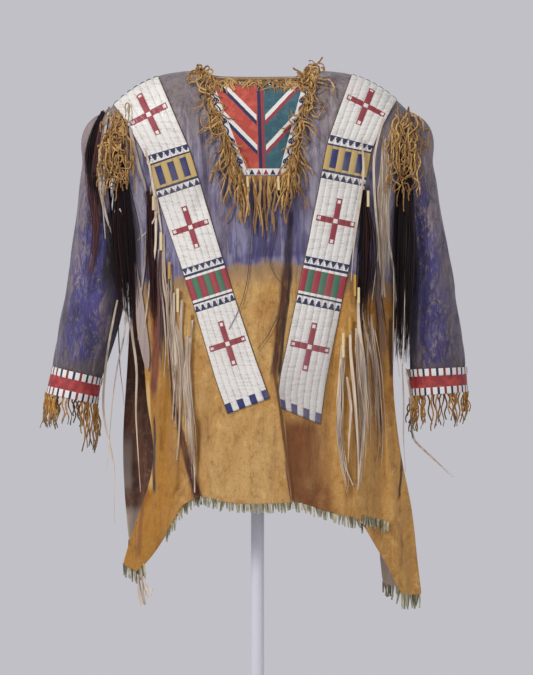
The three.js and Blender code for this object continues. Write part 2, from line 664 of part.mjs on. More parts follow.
// Small repeatable unevenness from 0 to 1, a different one for each number.
const uneven = (k) => {
  const value = Math.sin(k * 12.9898) * 43758.5453;
  return value - Math.floor(value);
};

// A narrow strip just below a row of points, for a fringe to be cut into.
function fringeStrip(row, directions) {
  const lowered = (distance) => row.map((point) => point.clone().add(new THREE.Vector3(0, 0, -distance)));
  return wall([lowered(FRINGE_GAP), lowered(FRINGE_GAP + FRINGE_STRIP)], [directions, directions], -HIDE, 0);
}

// A fringe of short flat thongs along a row of points.
function shortFringe(row, directions, { count, length, spread, bend }) {
  const last = row.length - 1;
  const pieces = [fringeStrip(row, directions)];
  for (let k = 0; k < count; k += 1) {
    const place = ((k + 0.5) / count) * last;
    const cell = Math.min(Math.floor(place), last - 1);
    const out = directions[cell].clone().lerp(directions[cell + 1], place - cell).normalize();
    const root = row[cell].clone().lerp(row[cell + 1], place - cell).addScaledVector(out, -HIDE / 2);
    const reach = length * (0.82 + 0.36 * uneven(k + count));
    const sway = spread * (uneven(k * 3 + 1) - 0.5);
    const step = (down, aside) => root.clone().add(new THREE.Vector3(aside, 0, -FRINGE_GAP - down));
    pieces.push(strand(
      bend ? [step(1, 0), step(reach / 2, sway * bend), step(reach, sway)] : [step(1, 0), step(reach, sway)],
      { width: THONG.width, thick: THONG.thick, facing: out },
    ));
  }
  return joined(pieces);
}

const columnsBetween = (grid, low, high) => {
  const row = grid[grid.length - 1];
  const kept = row.map((point, c) => c).filter((c) => row[c].x >= low && row[c].x <= high);
  return [kept[0], kept[kept.length - 1] + 1];
};

const HEM_FRINGES = [
  { name: 'hem_fringe_front', where: 'front', low: -172, high: 205, count: 28, length: 22, spread: 5 },
  { name: 'hem_fringe_back', where: 'back', low: -180, high: 190, count: 18, length: 22, spread: 5 },
  { name: 'pendant_fringe_right', where: 'front', low: -256, high: -215, count: 6, length: 26, spread: 8 },
  { name: 'pendant_fringe_left', where: 'front', low: 262, high: 312, count: 7, length: 26, spread: 8 },
];
for (const { name, where, low, high, ...cut } of HEM_FRINGES) {
  const [grid, out] = SHEETS[where];
  const [from, to] = columnsBetween(grid, low, high);
  const row = grid[grid.length - 1].slice(from, to);
  add(shirt, name, shortFringe(row, out[out.length - 1].slice(from, to), cut), GOLDEN_HIDE);
}

const CUFF_FRINGE = { right: 78, left: 62, count: 12, spread: 9, bend: 0.9 };
for (const side of ['right', 'left']) {
  const { grid, directions } = sleeves[side];
  const cut = { ...CUFF_FRINGE, length: CUFF_FRINGE[side] };
  const last = grid.length - 1;
  add(shirt, `cuff_fringe_${side}`, shortFringe(grid[last], directions[last], cut), THONG_HIDE);
}

// A route that leaves the narrow strip on a panel at a root, and hangs down the panel, never
// closer to it than "clear". It falls a little way first, and then swings aside.
const FALL = { first: 7, swing: 1.4, near: 0.55 };
function hanging(panel, root, { length, drift, clear, steps }) {
  const face = (x, z) => faceDepth(panel, x, z);
  const slope = (face(root.x, root.z - 1) - face(root.x, root.z + 1)) / 2;
  const lift = ROOT_DEPTH / Math.hypot(1, slope);
  const rooted = facetDepth(panel, root.x, root.z) + lift;
  const route = [new THREE.Vector3(root.x, panel.toward * rooted, root.z + lift * slope)];
  let depth = 0;
  for (let k = 1; k <= steps; k += 1) {
    const share = k / steps;
    const x = root.x + drift * Math.sin(share * FALL.swing);
    const z = root.z - (k === 1 ? FALL.first : mix(FALL.first, length, (k - 1) / (steps - 1)));
    depth = Math.max(depth, face(x, z) + clear * Math.min(1, FALL.near + share));
    route.push(new THREE.Vector3(x, panel.toward * depth, z));
  }
  return route;
}

// The bib's fringe: a narrow strip along each side and the lower edge, with thongs from it. The
// strip lies between two distances from the bib's edge, and the thongs are rooted in its middle.
const EDGE_STRIP = { from: 0.6, to: 5.4, root: 3, thick: 2, topZ: 1246, corner: 1 };
const NECK_THONG = { thick: 2.6, clear: 7, layer: 3.4, steps: 3 };
const SIDE_THONGS = { count: 9, top: 62, low: 96, topDrift: 22, lowDrift: 4, stray: 6 };
const LOW_THONGS = { count: 9, edge: 66, middle: 46, drift: 5 };

const bibStrip = (side, z, distance) => ({ x: bibEdge(side, z) + sideSign[side] * distance, z });
const neckThong = (route) => strand(route, {
  width: THONG.width, thick: NECK_THONG.thick, facing: new THREE.Vector3(0, -1, 0),
});

for (const side of ['right', 'left']) {
  const sign = sideSign[side];
  const [high, low] = [EDGE_STRIP.topZ, BIB_SHAPE.lowZ];
  const band = onFront([
    bibStrip(side, low, EDGE_STRIP.from), bibStrip(side, high, EDGE_STRIP.from),
    bibStrip(side, high, EDGE_STRIP.to), bibStrip(side, low, EDGE_STRIP.to),
  ], GAP, GAP + EDGE_STRIP.thick);
  const thongs = Array.from({ length: SIDE_THONGS.count }, (_, k) => {
    const share = (k + 0.5) / SIDE_THONGS.count;
    const root = bibStrip(side, mix(high, low, share), EDGE_STRIP.root);
    const length = mix(SIDE_THONGS.top, SIDE_THONGS.low, share) * (0.8 + 0.4 * uneven(k + 7));
    const stray = SIDE_THONGS.stray * uneven(k * 5);
    const drift = sign * (mix(SIDE_THONGS.topDrift, SIDE_THONGS.lowDrift, share) + stray);
    const clear = NECK_THONG.clear + NECK_THONG.layer * (k % 3);
    return neckThong(hanging(FRONT, root, { length, drift, clear, steps: NECK_THONG.steps }));
  });
  const loops = NECK_LOOPS.map(({ low: foot, out, high: shoulder, top }) => {
    const root = bibStrip(side, foot, EDGE_STRIP.root);
    const depth = facetDepth(FRONT, root.x, root.z) + ROOT_DEPTH;
    const point = (aside, behind, z) => new THREE.Vector3(root.x + sign * aside, -depth + behind, z);
    return neckThong([
      point(0, 0, foot), point(out * 0.3, -8, foot + 12), point(out * 0.7, 0, shoulder),
      point(out, 12, top), point(out * 1.5, 14, top - 9),
    ]);
  });
  add(shirt, `neck_fringe_${side}`, joined([band, ...thongs, ...loops]), THONG_HIDE);
}

const lowRight = BIB_SHAPE.rightLow - EDGE_STRIP.corner;
const lowLeft = BIB_SHAPE.leftLow + EDGE_STRIP.corner;
const lowBand = onFront([
  { x: lowRight, z: BIB_SHAPE.lowZ - EDGE_STRIP.from }, { x: lowLeft, z: BIB_SHAPE.lowZ - EDGE_STRIP.from },
  { x: lowLeft, z: BIB_SHAPE.lowZ - EDGE_STRIP.to }, { x: lowRight, z: BIB_SHAPE.lowZ - EDGE_STRIP.to },
], GAP, GAP + EDGE_STRIP.thick);
const lowThongs = Array.from({ length: LOW_THONGS.count }, (_, k) => {
  const share = (k + 0.5) / LOW_THONGS.count;
  const x = mix(BIB_SHAPE.rightLow, BIB_SHAPE.leftLow, share);
  const root = { x, z: BIB_SHAPE.lowZ - EDGE_STRIP.root };
  const more = LOW_THONGS.middle * Math.sin(Math.PI * share) * (0.6 + 0.5 * uneven(k + 31));
  const length = LOW_THONGS.edge + more;
  const drift = LOW_THONGS.drift * (uneven(k + 3) - 0.5);
  return neckThong(hanging(FRONT, root, { length, drift, clear: NECK_THONG.clear, steps: NECK_THONG.steps }));
});
add(shirt, 'neck_fringe_low', joined([lowBand, ...lowThongs]), THONG_HIDE);

// Shoulder fringe: a strip over each armhole seam, with thongs that hang before and behind. The
// strip's distances are measured inwards from the seam.
const SHOULDER_STRIP = { from: 7, to: 2, root: 4.5, thick: 2, lowZ: 1128, highZ: 1230 };
const SHOULDER_THONGS = {
  before: 6, behind: 4, highZ: 1186, lowZ: 1136, long: 190, short: 96, drift: 44, width: 5, thick: 3,
  clear: 9, stacked: 22, steps: 4,
};
for (const side of ['right', 'left']) {
  const sign = sideSign[side];
  const near = sign * (SHOULDER - SHOULDER_STRIP.from);
  const far = sign * (SHOULDER - SHOULDER_STRIP.to);
  const { lowZ, highZ } = SHOULDER_STRIP;
  const band = overShoulder(
    [{ x: near, z: lowZ }, { x: far, z: lowZ }, { x: far, z: highZ }, { x: near, z: highZ }],
    GAP,
    GAP + SHOULDER_STRIP.thick,
  );
  const { before, behind, width, thick, steps } = SHOULDER_THONGS;
  const thongs = Array.from({ length: before + behind }, (_, k) => {
    const panel = k < before ? FRONT : BACK;
    const place = k < before ? k / before : (k - before) / behind;
    const z = mix(SHOULDER_THONGS.highZ, SHOULDER_THONGS.lowZ, place);
    const root = { x: sign * (SHOULDER - SHOULDER_STRIP.root), z };
    const reach = mix(SHOULDER_THONGS.long, SHOULDER_THONGS.short, place);
    const length = reach * (0.75 + 0.4 * uneven(k * 7 + 2));
    const drift = sign * SHOULDER_THONGS.drift * (uneven(k * 11 + 5) - 0.62);
    const clear = SHOULDER_THONGS.clear + SHOULDER_THONGS.stacked * (1 - place);
    const facing = new THREE.Vector3(0, panel.toward, 0);
    return strand(hanging(panel, root, { length, drift, clear, steps }), { width, thick, facing });
  });
  add(shirt, `shoulder_fringe_${side}`, joined([band, ...thongs]), THONG_HIDE);
}

// Hair locks hang from the outer edge of each strip, before and behind. A lock is narrow where it
// is wrapped, full below that and pointed at its end.
const HAIR_BAND = { highZ: 1085, lowZ: 700, from: 2, to: 6.5, root: 4.3, thick: 2, levels: 6 };
const LOCK = { front: 7, back: 5, width: 12, thick: 5, long: 300, short: 250, drift: 12, clear: 8, steps: 4 };
const WRAPPED = { share: 0.18, width: 0.42, taper: 0.85 };

function lockShape(share) {
  const full = Math.sin(Math.PI * clamp01((share - WRAPPED.share) / WRAPPED.taper));
  return share < WRAPPED.share ? WRAPPED.width : WRAPPED.width + (1 - WRAPPED.width) * full;
}

for (const side of ['right', 'left']) {
  const sign = sideSign[side];
  const line = STRIP_LINES[side];
  const edge = (z, distance) => ({ x: stripPlace(line, sign * (STRIP.width / 2 + distance), z), z });
  const levels = Array.from({ length: HAIR_BAND.levels }, (_, k) => (
    mix(HAIR_BAND.highZ, HAIR_BAND.lowZ, k / (HAIR_BAND.levels - 1))
  ));
  const outline = [
    ...levels.map((z) => edge(z, HAIR_BAND.from)),
    ...[...levels].reverse().map((z) => edge(z, HAIR_BAND.to)),
  ];
  for (const where of ['front', 'back']) {
    const panel = where === 'front' ? FRONT : BACK;
    const through = where === 'front' ? [-FAR, -GAP] : [GAP, FAR];
    const [grid, out] = SHEETS[where];
    const band = common(wall(grid, out, GAP, GAP + HAIR_BAND.thick), prism(outline, ...through));
    const locks = Array.from({ length: LOCK[where] }, (_, k) => {
      const share = (k + 0.4) / LOCK[where];
      const root = edge(mix(HAIR_BAND.highZ - 8, HAIR_BAND.lowZ + 10, share), HAIR_BAND.root);
      const differ = 0.82 + 0.36 * uneven(k * 3 + (sign + 1) * 4 + panel.toward);
      const length = mix(LOCK.long, LOCK.short, share) * differ;
      const drift = sign * LOCK.drift * (uneven(k * 13 + 6) - 0.35);
      return strand(hanging(panel, root, { length, drift, clear: LOCK.clear, steps: LOCK.steps }), {
        width: LOCK.width, thick: LOCK.thick, shape: lockShape, facing: new THREE.Vector3(0, panel.toward, 0),
      });
    });
    add(shirt, `hair_locks_${side}_${where}`, joined([band, ...locks]), HAIR);
  }
}

// ---------------------------------------------------------------- display stand

const { baseRadius, baseHeight, collarRadius, collarTop, poleRadius } = STAND;
const baseProfile = [
  [0, 0], [baseRadius, 0], [baseRadius, baseHeight - 2], [baseRadius - 2, baseHeight],
  [collarRadius, baseHeight], [collarRadius, collarTop],
  [poleRadius + GAP, collarTop], [poleRadius + GAP, baseHeight], [0, baseHeight],
].map(([radius, z]) => new THREE.Vector2(radius, z));
const base = new THREE.LatheGeometry(baseProfile, 30).rotateX(Math.PI / 2);
add(stand, 'stand_base', base, STAND_PAINT);

const poleTop = STAND.saddleZ - STAND.yokeRadius - GAP;
const poleLow = baseHeight + GAP;
const pole = new THREE.CylinderGeometry(poleRadius, poleRadius, poleTop - poleLow, 24).rotateX(Math.PI / 2);
add(stand, 'stand_pole', pole.translate(0, 0, (poleTop + poleLow) / 2), STAND_PAINT);

// The yoke follows the shoulder line just under the hide, and dips below the neck opening.
const underRidge = (x) => {
  const slope = (read(RIDGE, 'x', x + 1, 'z') - read(RIDGE, 'x', x - 1, 'z')) / 2;
  const under = (HIDE + STAND.yokeGap + STAND.yokeRadius) / Math.hypot(1, slope);
  return { x: x + slope * under, z: read(RIDGE, 'x', x, 'z') - under };
};
const armPlaces = Array.from({ length: 5 }, (_, k) => underRidge(mix(STAND.yokeEnd, STAND.yokeRise, k / 4)));
const arm = [...armPlaces, ...YOKE_DIP];
const yokeLine = [
  ...arm.map(({ x, z }) => new THREE.Vector3(-x, 0, z)), new THREE.Vector3(0, 0, STAND.saddleZ),
  ...[...arm].reverse().map(({ x, z }) => new THREE.Vector3(x, 0, z)),
];
const barSection = new THREE.Shape().absarc(0, 0, STAND.yokeRadius, 0, 2 * Math.PI);
const yoke = new THREE.ExtrudeGeometry(barSection, {
  curveSegments: 5, steps: 18, extrudePath: new THREE.CatmullRomCurve3(yokeLine, false, 'centripetal'),
});
add(stand, 'stand_yoke', yoke, STAND_PAINT);

const group = new THREE.Group();
group.add(shirt, stand);

export default group;
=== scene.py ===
# %% [markdown]
# # A beaded hide war shirt on its stand
#
# The real shirt is two whole hides joined at the shoulders, two sleeves, two long beaded strips, a
# wool bib, and a great deal of cut fringe and hair. The imported model already holds each piece at
# its real size. Each step below dresses one of them: it takes the shape from the imported solid,
# makes it finer, and gives it the finish of its material. Lengths are in metres, the front faces
# -Y, and the wearer's right is -X.

# %% The tools and the imported model
import math

import bmesh
import bpy
import numpy as np
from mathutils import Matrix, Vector
from mathutils.bvhtree import BVHTree


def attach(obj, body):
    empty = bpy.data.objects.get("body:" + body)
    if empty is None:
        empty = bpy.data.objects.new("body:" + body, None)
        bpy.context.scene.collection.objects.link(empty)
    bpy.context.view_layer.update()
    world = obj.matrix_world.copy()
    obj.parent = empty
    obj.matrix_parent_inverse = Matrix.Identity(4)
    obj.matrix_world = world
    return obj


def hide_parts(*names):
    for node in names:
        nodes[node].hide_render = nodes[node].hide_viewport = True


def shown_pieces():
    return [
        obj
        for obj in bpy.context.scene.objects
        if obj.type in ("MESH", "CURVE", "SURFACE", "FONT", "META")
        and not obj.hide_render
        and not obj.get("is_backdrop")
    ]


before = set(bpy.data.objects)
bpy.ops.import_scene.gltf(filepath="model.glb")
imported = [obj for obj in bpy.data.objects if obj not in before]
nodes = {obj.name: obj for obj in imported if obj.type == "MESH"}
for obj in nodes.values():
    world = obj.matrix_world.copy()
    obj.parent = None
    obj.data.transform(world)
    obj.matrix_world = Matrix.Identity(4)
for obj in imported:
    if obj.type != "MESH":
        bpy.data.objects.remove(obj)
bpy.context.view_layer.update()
MM = 0.001
SIDES = {"right": -1, "left": 1}
print("packed nodes:", len(nodes))

# %% [markdown]
# ## Writing a material as sums
#
# A material is a tree of nodes, and a pattern such as "seven lanes wide, four rows high" is a sum
# over coordinates. Drawing forty Math nodes by hand hides that sum, so a small class wraps a
# socket and lets Python's own operators add the nodes. Colours go through Mix nodes instead,
# because a Math node would turn them grey.


# %% A socket that can be used in sums
class Field:
    """A socket of a material's tree, used in ordinary Python sums."""

    def __init__(self, paint, socket):
        self.paint = paint
        self.socket = socket

    def __add__(self, other):
        return self.paint.sums("ADD", self, other)

    def __sub__(self, other):
        return self.paint.sums("SUBTRACT", self, other)

    def __rsub__(self, other):
        return self.paint.sums("SUBTRACT", other, self)

    def __mul__(self, other):
        return self.paint.sums("MULTIPLY", self, other)

    def __truediv__(self, other):
        return self.paint.sums("DIVIDE", self, other)

    def __lt__(self, other):
        return self.paint.sums("LESS_THAN", self, other)

    def __gt__(self, other):
        return self.paint.sums("GREATER_THAN", self, other)

    def __abs__(self):
        return self.paint.sums("ABSOLUTE", self)

    def floor(self):
        return self.paint.sums("FLOOR", self)

    def wave(self):
        return self.paint.sums("SINE", self)

    def turns(self, count):
        """What is left of the value after whole counts are taken away, also below zero."""
        return self.paint.sums("FLOORED_MODULO", self, count)

    __radd__ = __add__
    __rmul__ = __mul__


# %% A material that is built node by node
class Paint:
    """One material. Every node comes from node(), and what it gives is a Field."""

    def __init__(self, name, roughness=0.85, sheen=0.0, coat=0.0):
        self.material = bpy.data.materials.new(name)
        self.material.use_nodes = True
        self.tree = self.material.node_tree
        self.shader = self.tree.nodes["Principled BSDF"]
        self.shader.inputs["Roughness"].default_value = roughness
        self.shader.inputs["Sheen Weight"].default_value = sheen
        self.shader.inputs["Coat Weight"].default_value = coat

    def node(self, kind, settings=None, sockets=None):
        made = self.tree.nodes.new(kind)
        for key, value in (settings or {}).items():
            setattr(made, key, value)
        for key, value in (sockets or {}).items():
            if isinstance(value, Field):
                self.tree.links.new(value.socket, made.inputs[key])
            else:
                made.inputs[key].default_value = value
        return made

    def sums(self, operation, *values):
        made = self.node("ShaderNodeMath", {"operation": operation}, dict(enumerate(values)))
        return Field(self, made.outputs[0])

    def mix(self, share, low, high):
        made = self.node("ShaderNodeMix", {"data_type": "RGBA"}, {0: share, 6: low, 7: high})
        return Field(self, made.outputs[2])

    def ease(self, value, low, high):
        """0 below low and 1 above high, with a soft change between them."""
        settings = {"interpolation_type": "SMOOTHSTEP"}
        made = self.node("ShaderNodeMapRange", settings, {0: value, 1: low, 2: high, 3: 0.0, 4: 1.0})
        return Field(self, made.outputs[0])

    def place(self):
        return Field(self, self.node("ShaderNodeTexCoord").outputs["Object"])

    def parts(self, vector):
        split = self.node("ShaderNodeSeparateXYZ", sockets={0: vector})
        return [Field(self, socket) for socket in split.outputs]

    def noise(self, scale, detail=3.0, rough=0.55, stretch=(1, 1, 1), twist=0.0):
        spread = self.node("ShaderNodeMapping", sockets={"Vector": self.place(), "Scale": stretch})
        sockets = {
            "Vector": Field(self, spread.outputs[0]), "Scale": scale, "Detail": detail,
            "Roughness": rough, "Distortion": twist,
        }
        return Field(self, self.node("ShaderNodeTexNoise", sockets=sockets).outputs[0])

    def value_of(self, name):
        made = self.node("ShaderNodeAttribute", {"attribute_name": name})
        return Field(self, made.outputs["Fac"])

    def chart(self):
        """The piece's own flat coordinates."""
        return self.parts(Field(self, self.node("ShaderNodeUVMap", {"uv_map": "chart"}).outputs[0]))

    def done(self, colour, height=None, depth=0.001, strength=0.5, roughness=None):
        self.tree.links.new(colour.socket, self.shader.inputs["Base Color"])
        if roughness is not None:
            self.tree.links.new(roughness.socket, self.shader.inputs["Roughness"])
        if height is not None:
            bump = self.node("ShaderNodeBump", sockets={
                "Height": height, "Distance": depth, "Strength": strength,
            })
            self.tree.links.new(bump.outputs[0], self.shader.inputs["Normal"])
        return self.material


def shade(red, green, blue):
    """A colour as it looks on a screen, from 0 to 255, in the linear light that shaders use."""
    low = [value / 255 for value in (red, green, blue)]
    return (*[v / 12.92 if v <= 0.04045 else ((v + 0.055) / 1.055) ** 2.4 for v in low], 1.0)


def dress(paint, *pieces):
    """Give pieces one finish."""
    for piece in pieces:
        piece.data.materials.append(paint)


# %% [markdown]
# ## Finer copies of the imported solids
#
# A imported solid is loose triangles. A copy is merged at its doubles and its triangles are paired
# back into the four-sided cells that they came from, so that a subdivision surface rounds it
# evenly. Its sharp rims are creased first, or the hem would shrink. Folds are then pushed into
# the fine mesh one by one: each is a soft trough or ridge with its own place, length and depth. A cloth
# simulation would give folds too, but not these folds, and it could pull the hide out of its size.


# %% Merged copies and finer meshes
def object_of(name, mesh):
    piece = bpy.data.objects.new(name, mesh)
    bpy.context.scene.collection.objects.link(piece)
    return piece


def points_of(mesh):
    flat = np.empty(len(mesh.vertices) * 3)
    mesh.vertices.foreach_get("co", flat)
    return flat.reshape(-1, 3)


RIM_ANGLE = math.radians(55)


def merged_copy(node, name):
    shape = bmesh.new()
    shape.from_mesh(nodes[node].data)
    bmesh.ops.remove_doubles(shape, verts=shape.verts, dist=0.02 * MM)
    bmesh.ops.join_triangles(
        shape, faces=shape.faces, angle_face_threshold=math.radians(35),
        angle_shape_threshold=math.radians(60),
    )
    crease = shape.edges.layers.float.new("crease_edge")
    for edge in shape.edges:
        if len(edge.link_faces) == 2 and edge.calc_face_angle() > RIM_ANGLE:
            edge[crease] = 0.8
    mesh = bpy.data.meshes.new(name)
    shape.to_mesh(mesh)
    shape.free()
    return object_of(name, mesh)


def finer(piece, levels):
    """The piece with its subdivision surface made real, and nothing left live."""
    rounded = piece.modifiers.new("finer", "SUBSURF")
    rounded.levels = levels
    rounded.render_levels = levels
    seen = piece.evaluated_get(bpy.context.evaluated_depsgraph_get())
    mesh = bpy.data.meshes.new_from_object(seen)
    piece.modifiers.clear()
    piece.data = mesh
    mesh.polygons.foreach_set("use_smooth", [True] * len(mesh.polygons))
    return piece


# %% Folds that are listed one by one
def eased(value):
    held = np.clip(value, 0, 1)
    return held * held * (3 - 2 * held)


def fold_push(across, z, folds):
    """How far a list of folds moves each point. A row is its upper and lower end, its rise and its
    half width. Its ends fade and its line wanders a little."""
    push = np.zeros_like(z)
    for top_x, top_z, low_x, low_z, rise, half in folds:
        down = (top_z - z) / (top_z - low_z)
        wander = 0.22 * half * np.sin(down * 7 + top_x)
        aside = (across - (top_x + (low_x - top_x) * down + wander)) / half
        profile = np.clip(1 - aside * aside, 0, 1) ** 2
        push += rise * profile * eased(down * 4) * eased((1.12 - down) * 5)
    return push


# %% [markdown]
# ## The two hides
#
# Brain-tanned hide is thick and soft, so it falls in long shallow folds. The lower part hangs in
# deeper ones where the leg pendants pull it. Both faces of the wall move by the same amount, which
# keeps the hide's thickness.

# %% Front and back, with their folds in millimetres
FRONT_FOLDS = [
    (-113, 640, -112, 470, -8, 15), (-137, 830, -130, 500, 4, 18), (-158, 860, -166, 515, -5, 16),
    (-193, 610, -206, 450, -5, 12), (-179, 770, -191, 555, 4, 14), (-60, 1055, -40, 900, -2.5, 22),
    (-18, 1040, 8, 880, -3, 18), (36, 1060, 54, 905, 2.5, 22), (72, 1185, 92, 985, -3, 18),
    (-78, 1190, -108, 1005, -3, 20), (152, 900, 136, 470, -4, 20), (189, 865, 184, 462, 4.5, 19),
    (216, 845, 229, 415, -5, 17), (241, 705, 262, 355, 4, 15), (104, 640, 119, 462, -3, 21),
    (-72, 640, -84, 470, 2, 24), (-226, 465, -236, 345, -4, 13), (284, 480, 290, 300, -4, 13),
    (6, 800, 22, 640, -2, 17), (262, 1040, 254, 880, -3, 16), (-206, 1010, -200, 850, -3, 15),
]
BACK_FOLDS = [
    (-90, 1180, -70, 960, -3, 26), (-20, 1150, -35, 900, -2.5, 30), (64, 1190, 88, 930, 3, 26),
    (-130, 880, -145, 480, -5, 20), (-84, 760, -95, 472, 4, 24), (-12, 800, -4, 476, -4, 22),
    (48, 700, 58, 474, 3, 20), (128, 870, 140, 470, -5, 22), (196, 800, 205, 440, 4, 18),
    (-196, 820, -200, 440, -4, 16), (-222, 560, -228, 390, 4, 15), (238, 560, 244, 320, -4, 14),
]


FOLD_DEPTH = 1.5
# Height of the shoulders, in millimetres, and how far below it the folds have grown to their depth.
SHOULDER_Z = 1250
FOLDS_BEGIN = 90
# How far the left back pendant's inner edge is drawn outwards at each height, and the places across
# the shirt between which it is drawn.
PENDANT_SHIFT = [(290, 0), (302, 2), (330, 12), (365, 17), (395, 17), (430, 18), (470, 0)]
PENDANT_FROM, PENDANT_INNER = 150, 265
PENDANT_BLEND = 50


def hide(node, name, folds, levels):
    """A packed hide made finer, with its folds pushed out along the way that it faces."""
    piece = finer(merged_copy(node, name), levels)
    points = points_of(piece.data)
    toward = np.sign(points[:, 1].mean())
    x, z = points[:, 0] / MM, points[:, 2] / MM
    push = fold_push(x, z, folds) * eased((SHOULDER_Z - z) / FOLDS_BEGIN)
    points[:, 1] += toward * push * FOLD_DEPTH * MM
    if toward > 0:
        drawn = np.interp(z, *np.array(PENDANT_SHIFT).T)
        share = np.clip((PENDANT_INNER - x) / PENDANT_BLEND, 0, 1)
        share = share * eased((x - PENDANT_FROM) / PENDANT_BLEND)
        points[:, 0] += drawn * share * MM
    piece.data.vertices.foreach_set("co", points.ravel())
    piece.data.update()
    return piece


front = hide("front_panel", "front_hide", FRONT_FOLDS, 3)
back = hide("back_panel", "back_hide", BACK_FOLDS, 3)
print("hides:", len(front.data.polygons), len(back.data.polygons), "faces")

# %% [markdown]
# ## The sleeves
#
# A sleeve is one sheet rolled round the arm, so its wrinkles run round it and slant. They are
# folds as above, but measured round the sleeve in degrees and pushed away from its middle line. A
# displacement texture would be quicker, but it wrinkles every place alike.

# %% Sleeves, with folds as angle, height, rise and half width
SLEEVE_FOLDS = [
    (-120, 1080, -70, 900, -3, 18), (-60, 1000, -20, 860, 3, 20), (10, 1060, 40, 820, -3.5, 18),
    (70, 980, 110, 840, 3, 20), (120, 900, 80, 740, -3, 20), (-100, 880, -140, 720, 3, 22),
    (-30, 840, -60, 730, -4, 18), (30, 800, 0, 715, 3, 16), (150, 800, 165, 715, -3, 20),
    (-160, 1000, -150, 900, 2.5, 20),
]


def sleeve(side):
    piece = finer(merged_copy(f"sleeve_{side}", f"sleeve_hide_{side}"), 2)
    points = points_of(piece.data)
    levels = np.linspace(points[:, 2].min(), points[:, 2].max(), 24)
    middle = np.array([points[np.abs(points[:, 2] - z) < 30 * MM][:, :2].mean(axis=0) for z in levels])
    away = points[:, :2] - np.stack([np.interp(points[:, 2], levels, middle[:, k]) for k in (0, 1)], 1)
    around = np.degrees(np.arctan2(away[:, 1], away[:, 0] * SIDES[side]))
    lower = eased((1120 * MM - points[:, 2]) / (60 * MM)) * eased((points[:, 2] - 700 * MM) / (30 * MM))
    push = fold_push(around, points[:, 2] / MM, SLEEVE_FOLDS) * lower * MM
    points[:, :2] += away / np.linalg.norm(away, axis=1, keepdims=True) * push[:, None]
    piece.data.vertices.foreach_set("co", points.ravel())
    piece.data.update()
    return piece


sleeves = {side: sleeve(side) for side in SIDES}
print("sleeves:", [len(piece.data.polygons) for piece in sleeves.values()], "faces")

# %% [markdown]
# ## Finding the hide's surface
#
# Everything else lies on the hides or hangs in front of them, so it has to know where they are. A
# ray answers that for one point. For thousands of hairs it is quicker to cast the rays once over a
# grid, and then read depths from the grid.


# %% Rays onto the shirt, and a map of its depths
def tree_of(*pieces):
    corners = []
    faces = []
    for piece in pieces:
        start = len(corners)
        corners += [vertex.co.copy() for vertex in piece.data.vertices]
        faces += [[start + k for k in face.vertices] for face in piece.data.polygons]
    return BVHTree.FromPolygons(corners, faces)


hides = tree_of(front, back)
whole_shirt = tree_of(front, back, *sleeves.values())
FAR = 0.6
MAP_STEP = 3 * MM
MAP_X = np.arange(-0.42, 0.4201, MAP_STEP)
MAP_Z = np.arange(0.20, 1.3301, MAP_STEP)


def depth_map(toward):
    """How far the shirt stands out on one side, at each place of the grid. Below a hem and beside
    an edge the last depth is carried on, because what hangs there hangs straight."""
    depths = np.zeros((len(MAP_X), len(MAP_Z)))
    for i, x in enumerate(MAP_X):
        held = 0.02
        for j in range(len(MAP_Z) - 1, -1, -1):
            start = Vector((x, toward * FAR, MAP_Z[j]))
            place = whole_shirt.ray_cast(start, Vector((0, -toward, 0)))[0]
            if place is not None and toward * place.y > 0:
                held = toward * place.y
            depths[i, j] = held
    return depths


DEPTHS = {-1: depth_map(-1), 1: depth_map(1)}


def depth_at(x, z, toward):
    """The map's depth at any places, blended between its four nearest points."""
    i = np.clip((np.asarray(x) - MAP_X[0]) / MAP_STEP, 0, len(MAP_X) - 1.001)
    j = np.clip((np.asarray(z) - MAP_Z[0]) / MAP_STEP, 0, len(MAP_Z) - 1.001)
    i0, j0 = i.astype(int), j.astype(int)
    fx, fz = i - i0, j - j0
    grid = DEPTHS[toward]
    low = grid[i0, j0] * (1 - fx) + grid[i0 + 1, j0] * fx
    high = grid[i0, j0 + 1] * (1 - fx) + grid[i0 + 1, j0 + 1] * fx
    return low * (1 - fz) + high * fz


print("deepest place in front:", round(float(DEPTHS[-1].max()), 3), "m")

# %% [markdown]
# ## Sheets and strands
#
# Two shapes cover the rest. A slab is a grid of points with a second grid under it, closed all
# round: strips, bib and cuffs are slabs. A strand is a narrow bar along a route: thongs and hairs
# are strands. Hundreds of strands are joined in one mesh, and each carries two numbers that its
# material can read, how far along it a point is and a number of its own. Curves with a bevel or a
# Geometry Nodes tree could sweep the same bars. Arrays are used because every route is worked out
# from the hide's depths in Python, and the same few lines then build a whole fringe at once.


# %% A closed slab over a grid of points
def mesh_of(name, points, faces, chart=None, values=None, smooth=True):
    """A mesh that faces outwards, with flat coordinates and numbers for its points."""
    mesh = bpy.data.meshes.new(name)
    mesh.from_pydata(points.reshape(-1, 3).tolist(), [], faces)
    if chart is not None:
        corner = np.empty(len(mesh.loops), int)
        mesh.loops.foreach_get("vertex_index", corner)
        layer = mesh.uv_layers.new(name="chart")
        layer.data.foreach_set("uv", chart.reshape(-1, 2)[corner].ravel())
    for key, numbers in (values or {}).items():
        attribute = mesh.attributes.new(key, "FLOAT", "POINT")
        attribute.data.foreach_set("value", np.asarray(numbers, np.float32).ravel())
    shape = bmesh.new()
    shape.from_mesh(mesh)
    bmesh.ops.recalc_face_normals(shape, faces=shape.faces)
    shape.to_mesh(mesh)
    shape.free()
    mesh.polygons.foreach_set("use_smooth", [smooth] * len(mesh.polygons))
    return object_of(name, mesh)


